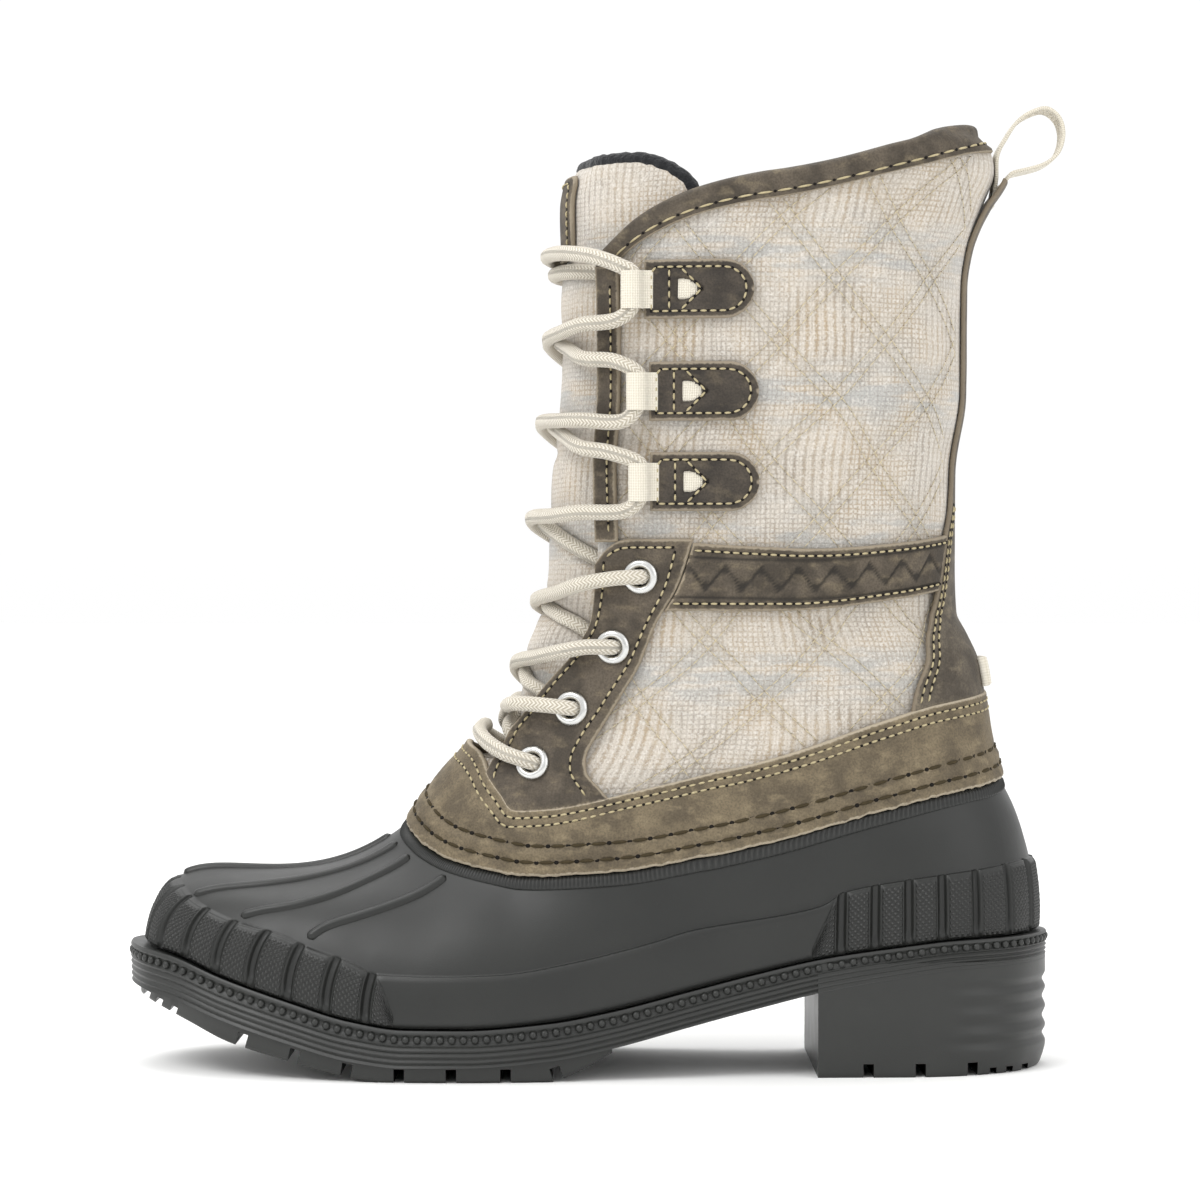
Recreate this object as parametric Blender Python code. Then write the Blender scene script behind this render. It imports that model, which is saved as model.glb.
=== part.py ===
"""Left winter boot: a moulded rubber shell on a lugged sole, under a laced wool shaft with leather overlays.

+Z is up from the floor, the toe points to -X and the outer (lateral) side of the foot to -Y.
All sizes are in millimetres and become metres when a mesh is made.
"""

import math

import bmesh
import bpy
import numpy as np

MM = 0.001

# Driving sizes of the foot form
LENGTH = 290.0
TOE_X = -147.6
BALL_WIDTH = 102.0
TOE_SWING = 6.0
SWING_FROM = 20.0
SWING_POWER = 1.5
SQUARENESS = 2.3

# Thicknesses and clearances
GAP = 0.3
LAY = 0.6
BACK_LAY = 1.0
SEAM_GAP = 0.8
WALL = 3.0
SHELL_WALL = 2.4
LEATHER = 1.5
BINDING = 1.2
TONGUE = 3.0
INSOLE = 4.0
WEBBING = 1.0
LACE = 4.7

# Steps of the searches and slopes
PROBE = 0.6
THROAT_TURN = 135.0
SETTLE_ROUNDS = 24
HALVINGS = 30
TINY = 1e-6

# Plan of the sole: share of the length from the toe, half widths as shares of half the ball width
OUTLINE = (
    # along, lateral, medial
    (0.020, 0.310, 0.550),
    (0.060, 0.530, 0.780),
    (0.120, 0.725, 0.910),
    (0.200, 0.875, 0.980),
    (0.280, 0.970, 1.000),
    (0.360, 1.000, 0.950),
    (0.450, 0.970, 0.845),
    (0.550, 0.875, 0.745),
    (0.650, 0.785, 0.695),
    (0.750, 0.735, 0.690),
    (0.850, 0.715, 0.695),
    (0.920, 0.630, 0.620),
    (0.970, 0.425, 0.425),
)
SPLINE_STEPS = 24

# Side view of the sole: height of its lip and depth of its ribbed side at each station
SOLE = (
    # x, lip, side
    (-147.6, 40.0, 13.0),
    (-132.0, 36.2, 13.0),
    (-115.0, 30.2, 12.8),
    (-93.0, 23.4, 12.5),
    (-75.0, 18.4, 12.0),
    (-58.0, 16.0, 11.4),
    (-40.0, 15.9, 11.2),
    (-14.0, 17.8, 11.2),
    (4.0, 20.8, 11.0),
    (30.0, 27.0, 10.6),
    (50.0, 31.9, 10.4),
    (70.0, 36.3, 10.0),
    (91.0, 39.4, 9.4),
    (112.0, 41.6, 8.8),
    (142.4, 42.5, 8.6),
)
# Ground line of the forefoot tread
TREAD = (
    # x, height
    (-143.0, 23.5),
    (-125.0, 16.0),
    (-113.5, 11.0),
    (-91.6, 5.2),
    (-75.6, 1.4),
    (-65.0, 0.0),
    (-15.0, 0.0),
    (-2.0, 4.6),
    (5.0, 8.6),
)
# Profile of the sole side: share of its depth, and how far it stands out
SIDE_PROFILE = (
    # share, out
    (0.00, -0.4),
    (0.14, 0.0),
    (0.27, -0.9),
    (0.44, 0.1),
    (0.60, -0.8),
    (0.78, 0.0),
    (1.00, -0.9),
)
SOLE_COLUMNS = 32
# Forefoot tread: where it starts and bends, its other stations, and how its sides stand
TREAD_FRONT, TREAD_BEND = -142.5, -70.0
TREAD_STEPS = 10
TREAD_REST = (-65.0, -45.0, -30.0, -15.0, -8.0, -2.0, 5.0)
TREAD_INSET = 1.4
TREAD_TAPER = 1.0
TREAD_ROOT = 4.0
FOREFOOT_NOTCHES = (-108.9, -92.4, -76.0, -59.6, -43.8, -27.3, -11.3)
TOE_NOTCHES = (-140.4, -136.0, -131.0)
NOTCH_WIDTH = 3.2
NOTCH_DEPTH = 4.2
SMALL_NOTCH = 2.2
NOTCH_REACH = 140.0
# Lengthwise grooves under the sole
LONG_GROOVES = (
    # x, y, length
    (-46.0, -17.0, 70.0),
    (-46.0, 17.0, 70.0),
    (99.5, 0.0, 33.0),
)
LONG_GROOVE_DEPTH = 3.2
HEEL_BREAST = 68.0
HEEL_WAY = 0.285
HEEL_COLUMNS = 11
HEEL_INSET = 0.4
HEEL_NOTCHES = (83.5, 99.5, 115.8)
SMALL_HEEL_NOTCHES = (122.5, 128.0, 133.5)
# Scoops across the back of the heel, and the bevel under it
HEEL_LEVELS = (
    # height, scoop at the back
    (35.0, 0.0),
    (29.5, 0.0),
    (27.0, 1.4),
    (24.5, 0.0),
    (21.5, 1.4),
    (18.5, 0.0),
    (15.5, 1.4),
    (12.5, 0.0),
    (10.0, 1.4),
    (7.5, 0.0),
    (0.0, 2.0),
)
SCOOP_FROM, SCOOP_TO = 112.0, 134.0

# Rubber shell: each column rises from the sole to the leather band as one curve. Turn is the place on the
# shaft where it arrives; rise and lean bend its foot, flare and drop its head; inset is from the outline.
SHELL = (
    # around, turn, rise, lean, flare, drop, inset
    (0.00, 0.0, 15.5, 1.2, 9.0, 14.0, 4.0),
    (0.10, 25.0, 15.0, 1.0, 7.0, 13.0, 3.4),
    (0.20, 54.0, 14.0, 1.0, 3.0, 13.0, 2.5),
    (0.35, 86.0, 14.0, 1.0, 1.5, 13.0, 2.5),
    (0.50, 109.0, 17.0, 1.2, 3.0, 13.0, 2.5),
    (0.60, 125.0, 21.0, 1.2, 7.0, 13.0, 2.5),
    (0.70, 141.0, 26.0, 0.0, 13.0, 15.0, 2.5),
    (0.80, 154.0, 31.0, -1.5, 21.5, 18.5, 2.6),
    (0.90, 167.0, 32.0, -4.0, 30.0, 25.5, 4.2),
    (1.00, 180.0, 43.0, -4.4, 40.5, 36.0, 6.8),
)
# Top of the raised lower band and of the bumpers at heel and toe
STEP = (
    # around, height
    (0.000, 65.5),
    (0.060, 64.8),
    (0.130, 62.7),
    (0.198, 60.0),
    (0.255, 56.5),
    (0.275, 52.3),
    (0.392, 45.0),
    (0.425, 41.8),
    (0.508, 35.5),
    (0.573, 32.2),
    (0.635, 31.6),
    (0.685, 32.0),
    (0.720, 36.0),
    (0.757, 39.5),
    (0.790, 43.4),
    (0.840, 47.0),
    (0.885, 51.0),
    (0.940, 55.5),
    (1.000, 58.7),
)
STEP_LIMIT = 0.75
# Grooves between the pads of the bumpers, and ridges on the toe, by distance along the side
SIDE_ARC = 335.0
RAISED = 1.3
GROOVE_RAISED = 0.3
RIDGE = 1.0
GROOVE_HALF = 1.5
HEEL_GROOVES = (3.8, 16.4, 30.0, 42.9, 54.6, 65.2, 75.7, 86.1)
TOE_PITCH = 12.4
TOE_GROOVE_COUNT = 7
FIRST_TOE_GROOVE = {"lateral": 3.8, "medial": 8.6}
RIDGE_PITCHES = (2.5, 4.5, 6.5)
SHELL_SIDE_COLUMNS = 9
# Shares of the shell column above its step where the upper rows lie
UPPER_ROWS = (0.05, 0.36, 0.68)

# Shaft: level sections of the upper, from the seam in the shell up to the collar
SECTIONS = (
    # height, front, back, half_width
    (40.0, -72.0, 130.0, 37.0),
    (60.0, -66.0, 130.0, 38.0),
    (77.0, -58.0, 128.5, 37.5),
    (91.0, -47.5, 126.7, 36.5),
    (103.0, -37.5, 123.2, 36.0),
    (116.0, -33.0, 121.2, 35.5),
    (126.0, -28.2, 119.5, 35.5),
    (135.0, -25.5, 115.6, 36.0),
    (142.0, -23.2, 112.2, 36.5),
    (155.0, -20.8, 111.6, 37.5),
    (186.0, -19.2, 111.8, 40.0),
    (211.0, -16.6, 115.2, 42.0),
    (244.0, -15.4, 115.5, 44.0),
    (256.0, -15.6, 117.2, 44.8),
    (270.0, -16.0, 122.0, 45.5),
    (281.0, -16.0, 125.6, 46.0),
    (286.0, -16.0, 124.8, 46.0),
    (291.0, -16.0, 119.5, 45.6),
    (310.0, -16.0, 117.5, 45.0),
)
INSOLE_COLUMNS = 24
INSOLE_CLEARANCE = 2.0
# Leather band by turn around the shaft: 0 at the back, 180 at the front
BAND = (
    # turn, lower, upper
    (0.0, 91.3, 118.0),
    (40.0, 86.3, 114.0),
    (60.0, 81.0, 108.5),
    (83.0, 71.0, 98.0),
    (102.0, 63.2, 88.5),
    (120.0, 61.3, 82.0),
    (128.0, 62.7, 81.3),
    (135.0, 64.2, 86.0),
    (142.0, 66.0, 90.5),
    (151.0, 69.0, 96.0),
    (160.0, 72.2, 99.0),
    (180.0, 77.5, 101.5),
)
BAND_TURN = 120.0
BAND_COLUMNS = 23
BAND_ROWS = 3
SEAM_RISE = 7.0
THROAT_FOOT = 97.0
THROAT = (
    # height, turn
    (60.0, 140.0),
    (85.0, 143.0),
    (97.0, 147.4),
    (104.0, 148.5),
    (113.0, 142.7),
    (122.0, 138.0),
    (132.0, 131.7),
    (140.0, 128.8),
    (157.0, 130.2),
    (200.0, 133.8),
    (256.0, 136.9),
    (310.0, 138.0),
)
COLLAR = (
    # turn, height
    (0.0, 294.4),
    (8.0, 294.0),
    (32.0, 291.6),
    (59.0, 285.2),
    (79.0, 278.8),
    (105.0, 270.9),
    (120.0, 263.5),
    (132.4, 254.2),
    (138.0, 250.0),
)
SHAFT_COLUMNS = 32
FRONT_COLUMNS = 8
LOW_ROWS = 2
# Shares of the height from the foot of the throat to the collar where rows lie
HIGH_ROWS = (0.05, 0.11, 0.17, 0.32, 0.51, 0.72, 0.82, 0.90, 0.957, 1.0)

# Overlays, by height on the shaft
EYESTAY = (
    # height, rear turn
    (80.0, 104.0),
    (87.0, 110.5),
    (94.0, 117.2),
    (100.0, 119.6),
    (115.0, 115.3),
    (137.5, 109.5),
    (150.0, 104.6),
    (165.0, 101.1),
)
EYESTAY_TOP = 165.0
EYESTAY_CORNER, EYESTAY_CORNER_SHARE = 8.0, 0.4
EYESTAY_COLUMNS, EYESTAY_ROWS = 4, 8
BACKSTAY = (
    # height, turn, lift
    (108.0, 51.0, BACK_LAY),
    (118.5, 47.8, BACK_LAY),
    (127.0, 43.0, BACK_LAY),
    (135.0, 38.6, BACK_LAY),
    (139.0, 33.9, BACK_LAY),
    (150.0, 26.7, BACK_LAY),
    (166.0, 20.5, BACK_LAY),
    (175.0, 15.0, BACK_LAY),
    (186.0, 12.5, BACK_LAY),
    (254.0, 12.5, BACK_LAY),
    (264.0, 12.5, 1.1),
    (271.0, 12.5, 1.9),
    (279.0, 11.0, 3.4),
)
BACKSTAY_TOP = 279.0
BACKSTAY_COLUMNS = 9
# How many of the shaft's high rows the backstay follows
BACKSTAY_ROWS = 7
STRAP = (
    # share from eyestay to backstay, lower, upper
    (0.00, 143.0, 163.7),
    (0.33, 143.0, 162.0),
    (0.70, 146.0, 164.0),
    (1.00, 149.0, 166.4),
)
STRAP_COLUMNS, STRAP_ROWS = 9, 3
TURN_GAP = 0.7
THROAT_STRIP_WIDTH = 7.0
STRIP_BOTTOM = 166.0
STRIP_CLEARANCE = 1.0
STRIP_COLUMNS, STRIP_ROWS = 3, 6
BINDING_WIDTH = 7.5
BINDING_INNER = 6.0
BINDING_ROUND = 0.4
TAB_LENGTH = 33.0
TAB_WIDTH = 18.0
TAB_TIP = 0.15
# Shares of the tab's length from its square front to its round end
TAB_STATIONS = (0.0, 0.24, 0.48, 0.70, 0.80, 0.89, 0.96, 0.99, 1.0)
TABS = (
    # height, front x
    (183.0, 17.6),
    (212.0, 17.0),
    (243.0, 15.4),
)
LOOP_WIDTH = 11.5
# Webbing loop seen along its fold: distance in front of the tab, height over the shaft
LOOP_OUTSIDE = (
    # ahead, lift
    (9.7, 4.7),
    (8.6, 8.0),
    (6.0, 9.0),
    (3.0, 6.6),
    (0.3, 3.4),
    (0.3, 2.3),
    (8.2, 2.3),
)
LOOP_INSIDE = (
    # ahead, lift
    (8.7, 4.9),
    (8.4, 7.1),
    (5.8, 8.0),
    (2.8, 5.6),
    (2.2, 3.7),
    (2.2, 3.3),
    (7.5, 3.3),
)
EYELETS = (
    # x, height
    (14.2, 153.4),
    (5.8, 131.8),
    (-6.8, 112.6),
    (-18.7, 95.4),
)
EYELET_SIDES = 8
EYELET_HOLE = 3.9
EYELET_BACK = -(WALL + 0.2)
# Eyelet turned about its axis
EYELET_PROFILE = (
    # radius, height over the shaft
    (2.9, EYELET_BACK),
    (3.1, 3.9),
    (5.5, 2.9),
    (3.5, 2.6),
    (3.5, EYELET_BACK),
)
TONGUE_LIFT = -(WALL + LAY + BINDING + LAY)
TONGUE_EDGE = (
    # height, turn
    (98.0, 151.0),
    (104.0, 141.0),
    (122.0, 126.0),
    (140.0, 116.0),
    (165.0, 110.0),
    (290.0, 108.0),
)
TONGUE_TOP = 282.5
TONGUE_ROWS = (98.0, 106.0, 115.0, 126.0, 140.0, 160.0, 211.0, 252.0, 270.0, TONGUE_TOP)
TONGUE_COLUMNS = 9
# Round top corners of the tongue: their fall, the share of the half width and the height where they start
TONGUE_CORNER, CORNER_FROM, CORNER_REACH = 9.0, 0.72, 60.0
PATCH_HALF_TURN = 24.0
PATCH_BOTTOM, PATCH_TOP = 252.0, 279.0
PATCH_COLUMNS, PATCH_ROWS = 5, 3
PULL_LOOP_WIDTH = 12.0
PULL_LOOP_THICK = 1.6
# Outer path of the pull loop in the middle plane
PULL_LOOP = (
    # x, height
    (128.4, 278.8),
    (126.7, 286.5),
    (128.8, 292.0),
    (132.6, 297.5),
    (137.4, 300.6),
    (142.1, 301.6),
    (146.2, 298.7),
    (147.8, 293.4),
    (146.2, 287.0),
    (142.1, 283.0),
    (133.5, 279.4),
)
HEEL_TAB_TURN = 10.0
HEEL_TAB_BOTTOM, HEEL_TAB_TOP = 118.8, 127.5
HEEL_TAB_COLUMNS, HEEL_TAB_ROWS = 4, 3

# Lace: each crossing leaves an upper hold, passes the front and ends at the lower hold of the other side
LACE_OVER = 5.3
LACE_ON_TONGUE = -1.6
LACE_ON_PATCH = -0.5
CROSS_LIFT = 0.9
# Where a strand passes the throat edge and comes down on the tongue: degrees past the edge, extra lift,
# and the shares of its rise on the near and the far side
EDGE_TURN, EDGE_SHARE, FAR_EDGE_SHARE = 2.0, 0.30, 0.85
DOWN_TURN, DOWN_LIFT, DOWN_SHARE, FAR_DOWN_SHARE = 16.0, 0.5, 0.65, 0.50
CROSSINGS = (
    # upper x, upper height, front height, lower turn, lower height, lower lift
    (-13.6, 113.2, 114.0, 158.0, 106.5, -1.2),
    (-1.0, 131.8, 127.0, 147.0, 119.5, -1.2),
    (7.4, 153.0, 146.5, 138.0, 139.0, -1.2),
    (9.3, 174.0, 171.5, 140.0, 161.0, -1.2),
    (8.6, 203.0, 202.0, 126.5, 192.0, 6.0),
    (7.2, 234.0, 228.0, 127.2, 221.0, 6.0),
)
# Bottom bar: its ends ahead of and above the last eyelets, then its way over the front
BAR_AHEAD, BAR_RISE = 6.6, 1.5
BOTTOM_BAR = (
    # turn, height, lift
    (165.0, 104.8, 2.4),
    (180.0, 107.4, -0.8),
)
# Top bars: both leave the uppermost loop and end at the tongue's edge
TOP_TURN, TOP_HEIGHT = 128.5, 251.2
TOP_END_TURN, TOP_END_LIFT = 142.0, -0.9
TOP_BARS = {
    # front height, end height
    "upper": (256.4, 254.5),
    "lower": (249.6, 247.6),
}
LACE_SIDES = 5
LACE_STEPS = 9

COLOURS = {
    "rubber": (0.045, 0.048, 0.046, 0.6),
    "leather": (0.115, 0.095, 0.068, 0.7),
    "wool": (0.67, 0.61, 0.55, 0.95),
    "webbing": (0.80, 0.75, 0.63, 0.9),
    "lining": (0.025, 0.027, 0.030, 0.95),
    "metal": (0.78, 0.78, 0.77, 0.25),
}


def curve(rows, column, at):
    """One table column at `at`, smooth between the rows and never past them (monotone cubic)."""
    table = np.array(rows, float)
    x, y = table[:, 0], table[:, column]
    step = np.diff(x)
    slope = np.diff(y) / step
    tangent = np.concatenate([slope[:1], np.zeros(len(x) - 2), slope[-1:]])
    for i in range(1, len(x) - 1):
        if slope[i - 1] * slope[i] > 0:
            tangent[i] = 2 * slope[i - 1] * slope[i] / (slope[i - 1] + slope[i])
    at = np.clip(at, x[0], x[-1])
    i = np.clip(np.searchsorted(x, at) - 1, 0, len(step) - 1)
    t, h = (at - x[i]) / step[i], step[i]
    return (
        (1 + 2 * t) * (1 - t) ** 2 * y[i]
        + t * (1 - t) ** 2 * h * tangent[i]
        + t * t * (3 - 2 * t) * y[i + 1]
        + t * t * (t - 1) * h * tangent[i + 1]
    )


def closed_spline(points):
    """Smooth closed line through the points, SPLINE_STEPS to each span (centripetal Catmull-Rom)."""
    p = np.array(points, float)
    line = []
    for i in range(len(p)):
        a, b, c, d = (p[(i + k) % len(p)] for k in (-1, 0, 1, 2))
        ab, bc, cd = (math.sqrt(np.linalg.norm(v)) for v in (b - a, c - b, d - c))
        leave = (c - b) + bc * ((b - a) / ab - (c - a) / (ab + bc))
        arrive = (c - b) + bc * ((d - c) / cd - (d - b) / (bc + cd))
        for t in np.arange(SPLINE_STEPS) / SPLINE_STEPS:
            line.append(
                (2 * t**3 - 3 * t**2 + 1) * b
                + (t**3 - 2 * t**2 + t) * leave
                + (3 * t**2 - 2 * t**3) * c
                + (t**3 - t**2) * arrive
            )
    return np.array(line)


def outline_halves():
    """The sole outline from heel to toe along each side, with its running length."""
    half = BALL_WIDTH / 2
    lateral = [(TOE_X + a * LENGTH, -out * half) for a, out, _ in reversed(OUTLINE)]
    medial = [(TOE_X + a * LENGTH, out * half) for a, _, out in OUTLINE]
    ring = closed_spline([(TOE_X + LENGTH, 0.0)] + lateral + [(TOE_X, TOE_SWING)] + medial)
    toe = (len(lateral) + 1) * SPLINE_STEPS
    halves = (ring[: toe + 1], np.vstack([ring[toe:], ring[:1]])[::-1])
    lengths = [np.linalg.norm(np.diff(h, axis=0), axis=1) for h in halves]
    return [(h, np.concatenate([[0], np.cumsum(s)])) for h, s in zip(halves, lengths)]


HALVES = outline_halves()


def on_outline(way, inset):
    """Plan point and outward normal. Way runs from -1 (toe) along the medial side, 0 (heel), to 1 (toe)."""
    way = np.asarray(way, float)
    found = []
    for half, run in HALVES:
        s = np.abs(way) * run[-1]
        ahead, behind = np.clip(s + PROBE, 0, run[-1]), np.clip(s - PROBE, 0, run[-1])
        places = [[np.interp(q, run, half[:, k]) for k in (0, 1)] for q in (s, ahead, behind)]
        found.append([np.stack(p, -1) for p in places])
    lateral = (way >= 0)[..., None]
    here, ahead, behind = (np.where(lateral, a, b) for a, b in zip(*found))
    along = ahead - behind
    out = np.stack([-along[..., 1], along[..., 0]], -1) * np.where(lateral, 1, -1)
    ends = np.isclose(np.abs(way), 0) | np.isclose(np.abs(way), 1)
    straight = np.stack([np.where(np.abs(way) < 0.5, 1.0, -1.0), np.zeros_like(way)], -1)
    out = np.where(ends[..., None], straight, out / np.linalg.norm(out, axis=-1, keepdims=True))
    return here - out * inset, out


def swing(x):
    """Sideways curve of the foot towards the toe."""
    return TOE_SWING * (np.clip(SWING_FROM - x, 0, None) / (SWING_FROM - TOE_X)) ** SWING_POWER


def shaft_surface(turn, height):
    front, back, half = (curve(SECTIONS, column, height) for column in (1, 2, 3))
    c, s = np.cos(np.radians(turn)), np.sin(np.radians(turn))
    power = 2 / SQUARENESS
    x = (front + back) / 2 + (back - front) / 2 * np.sign(c) * np.abs(c) ** power
    y = swing(x) - half * np.sign(s) * np.abs(s) ** power
    return np.stack([x, y, height + 0 * x], -1)


def shaft(turn, height, lift=0.0):
    """Point of the upper: turn in degrees from the back round the lateral side, lift along the normal."""
    turn, height, lift = np.broadcast_arrays(*(np.asarray(v, float) for v in (turn, height, lift)))
    around = shaft_surface(turn + PROBE, height) - shaft_surface(turn - PROBE, height)
    up = shaft_surface(turn, height + PROBE) - shaft_surface(turn, height - PROBE)
    normal = np.cross(up, around)
    normal /= np.linalg.norm(normal, axis=-1, keepdims=True)
    return shaft_surface(turn, height) + normal * lift[..., None]


def turn_at(x, height):
    """Turn of the lateral shaft point at this x and height."""
    front, back = (curve(SECTIONS, column, height) for column in (1, 2))
    c = np.clip((x - (front + back) / 2) / ((back - front) / 2), -1, 1)
    return np.degrees(np.arccos(np.sign(c) * np.abs(c) ** (SQUARENESS / 2)))


def folded(turn):
    """Turn as an angle from the back, 0 to 180 on either side."""
    return np.abs((np.asarray(turn, float) + 180) % 360 - 180)


def band_edge(turn, column):
    return curve(BAND, column, folded(turn))


def settled(turn, next_turn):
    """The turn that next_turn leaves as it is, found by half steps."""
    for _ in range(SETTLE_ROUNDS):
        turn = (turn + next_turn(turn)) / 2
    return turn


def settle(side_share, height_of):
    """Turn and height at a share of the throat edge's turn, where height_of(turn) sets the height."""
    turn = settled(side_share * THROAT_TURN, lambda turn: side_share * curve(THROAT, 1, height_of(turn)))
    return turn, height_of(turn)


def object_of(name, points, faces, kind):
    mesh = bpy.data.meshes.new(name)
    mesh.from_pydata((np.asarray(points, float) * MM).tolist(), [], faces)
    shape = bmesh.new()
    shape.from_mesh(mesh)
    bmesh.ops.recalc_face_normals(shape, faces=shape.faces)
    shape.to_mesh(mesh)
    shape.free()
    made = bpy.data.objects.new(name, mesh)
    bpy.context.scene.collection.objects.link(made)
    material = bpy.data.materials.new(name)
    material.use_nodes = True
    surface = material.node_tree.nodes["Principled BSDF"]
    red, green, blue, rough = COLOURS[kind]
    surface.inputs["Base Color"].default_value = (red, green, blue, 1.0)
    surface.inputs["Roughness"].default_value = rough
    surface.inputs["Metallic"].default_value = float(kind == "metal")
    mesh.materials.append(material)
    return made


def boolean(target, tool, operation):
    """Joins or cuts with another object, which is used up."""
    step = target.modifiers.new(operation, "BOOLEAN")
    step.operation, step.object, step.solver = operation, tool, "EXACT"
    graph = bpy.context.evaluated_depsgraph_get()
    mesh = bpy.data.meshes.new_from_object(target.evaluated_get(graph))
    target.modifiers.clear()
    target.data = mesh
    bpy.data.objects.remove(tool)


def walled(name, outer, inner, kind, wrap=False, cells=None):
    """Solid between two grids of points, closed along every free edge of the cells that are kept."""
    columns, rows = outer.shape[:2]
    spans = columns if wrap else columns - 1
    if cells is None:
        cells = np.ones((spans, rows - 1), bool)
    faces, edges = [], {}
    for i, j in zip(*np.nonzero(cells)):
        ring = [(i, j), ((i + 1) % columns, j), ((i + 1) % columns, j + 1), (i, j + 1)]
        ring = [int(a * rows + b) for a, b in ring]
        faces.append(ring)
        faces.append([columns * rows + v for v in reversed(ring)])
        for a, b in zip(ring, ring[1:] + ring[:1]):
            if not edges.pop((b, a), None):
                edges[(a, b)] = True
    faces += [[b, a, columns * rows + a, columns * rows + b] for a, b in edges]
    points = np.concatenate([outer.reshape(-1, 3), inner.reshape(-1, 3)])
    used = sorted({v for face in faces for v in face})
    place = {v: k for k, v in enumerate(used)}
    return object_of(name, points[used], [[place[v] for v in face] for face in faces], kind)


def overlay(name, turn, height, lift, thick, kind, wrap=False):
    """Piece laid on the shaft over a grid of turns and heights."""
    return walled(name, shaft(turn, height, lift + thick), shaft(turn, height, lift), kind, wrap)


def ladder(count, rings):
    """Faces of a stack of closed rings, each up one side and back down the other, with both ends closed."""
    size = 2 * count - 2
    faces = []
    for ring in range(rings - 1):
        for i in range(size):
            a, b = ring * size + i, ring * size + (i + 1) % size
            faces.append([a, b, b + size, a + size])
    for base in (0, (rings - 1) * size):
        for i in range(count - 1):
            across = [i, i + 1, size - i - 1, (size - i) % size]
            faces.append([base + v for v in dict.fromkeys(across)])
    return faces


def outline_ways(count):
    """Ways around the whole outline: heel to toe along the lateral side, then back."""
    up = np.linspace(0, 1, count)
    return np.concatenate([up, -up[-2:0:-1]])


def lip_height(x):
    return curve(SOLE, 1, x)


def box(x, y, z, size, pitch=0.0):
    """Eight corners of a box at a place, tipped about Y."""
    signs = np.array([(a, b, c) for a in (-1, 1) for b in (-1, 1) for c in (-1, 1)], float)
    along, across, high = (signs * np.array(size) / 2).T
    c, s = math.cos(pitch), math.sin(pitch)
    turned = np.stack([c * along + s * high, across, c * high - s * along], -1)
    return turned + (x, y, z)


BOX_FACES = ((0, 1, 3, 2), (4, 6, 7, 5), (0, 4, 5, 1), (2, 3, 7, 6), (0, 2, 6, 4), (1, 5, 7, 3))


def cut_boxes(target, boxes):
    points, faces = [], []
    for corners in boxes:
        faces += [[len(points) + v for v in face] for face in BOX_FACES]
        points += list(corners)
    boolean(target, object_of("notches", points, faces, "rubber"), "DIFFERENCE")


def sole_plate():
    ways = outline_ways(SOLE_COLUMNS)
    rings = []
    for share, out in SIDE_PROFILE:
        plan, _ = on_outline(ways, -out)
        edge, _ = on_outline(ways, 0.0)
        height = lip_height(edge[:, 0]) - share * curve(SOLE, 2, edge[:, 0])
        rings.append(np.column_stack([plan, height]))
    points = np.concatenate(rings)
    return object_of("outsole", points, ladder(SOLE_COLUMNS, len(rings)), "rubber")


def side_limits(x, inset):
    """Lateral and medial y of the outline at this x."""
    up = np.linspace(0, 1, len(HALVES[0][0]))
    limits = []
    for way in (up, -up):
        plan, _ = on_outline(way, inset)
        limits.append(np.interp(-x, -plan[:, 0], plan[:, 1]))
    return limits


def forefoot_tread():
    stations = np.concatenate([np.linspace(TREAD_FRONT, TREAD_BEND, TREAD_STEPS), TREAD_REST])
    points = []
    for x in stations:
        low, high = side_limits(x, TREAD_INSET)
        ground = float(curve(TREAD, 1, x))
        inside = float(lip_height(x) - curve(SOLE, 2, x)) + TREAD_ROOT
        points += [(x, low + TREAD_TAPER, ground), (x, high - TREAD_TAPER, ground)]
        points += [(x, high, inside), (x, low, inside)]
    faces = [[0, 1, 2, 3], [len(points) - 4 + v for v in (3, 2, 1, 0)]]
    for base in range(0, len(points) - 4, 4):
        faces += [[base + k, base + (k + 1) % 4, base + 4 + (k + 1) % 4, base + 4 + k] for k in range(4)]
    return object_of("forefoot_tread", points, faces, "rubber")


def heel_block():
    way = np.linspace(0.0, HEEL_WAY, HEEL_COLUMNS)
    ways = np.concatenate([way[::-1], -way[1:]])
    rings = []
    for height, scoop in HEEL_LEVELS:
        plan, out = on_outline(ways, HEEL_INSET)
        back = np.clip((plan[:, 0] - SCOOP_FROM) / (SCOOP_TO - SCOOP_FROM), 0, 1)
        plan = plan - out * (scoop * back * back * (3 - 2 * back))[:, None]
        plan[[0, -1], 0] = HEEL_BREAST
        rings.append(np.column_stack([plan, np.full(len(plan), height)]))
    size = len(ways)
    faces = [list(range(size)), [size * (len(rings) - 1) + v for v in reversed(range(size))]]
    for ring in range(len(rings) - 1):
        for i in range(size):
            a, b = ring * size + i, ring * size + (i + 1) % size
            faces.append([a, b, b + size, a + size])
    return object_of("heel_block", np.concatenate(rings), faces, "rubber")


def ground_height(x):
    return curve(TREAD, 1, x) if x < HEEL_BREAST / 2 else 0.0


def tread_box(x, width, depth):
    """Box for a notch across the tread, square to its ground line."""
    slope = (ground_height(x + PROBE) - ground_height(x - PROBE)) / (2 * PROBE)
    return box(x, 0.0, float(ground_height(x)), (width, NOTCH_REACH, 2 * depth), -math.atan(slope))


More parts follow.
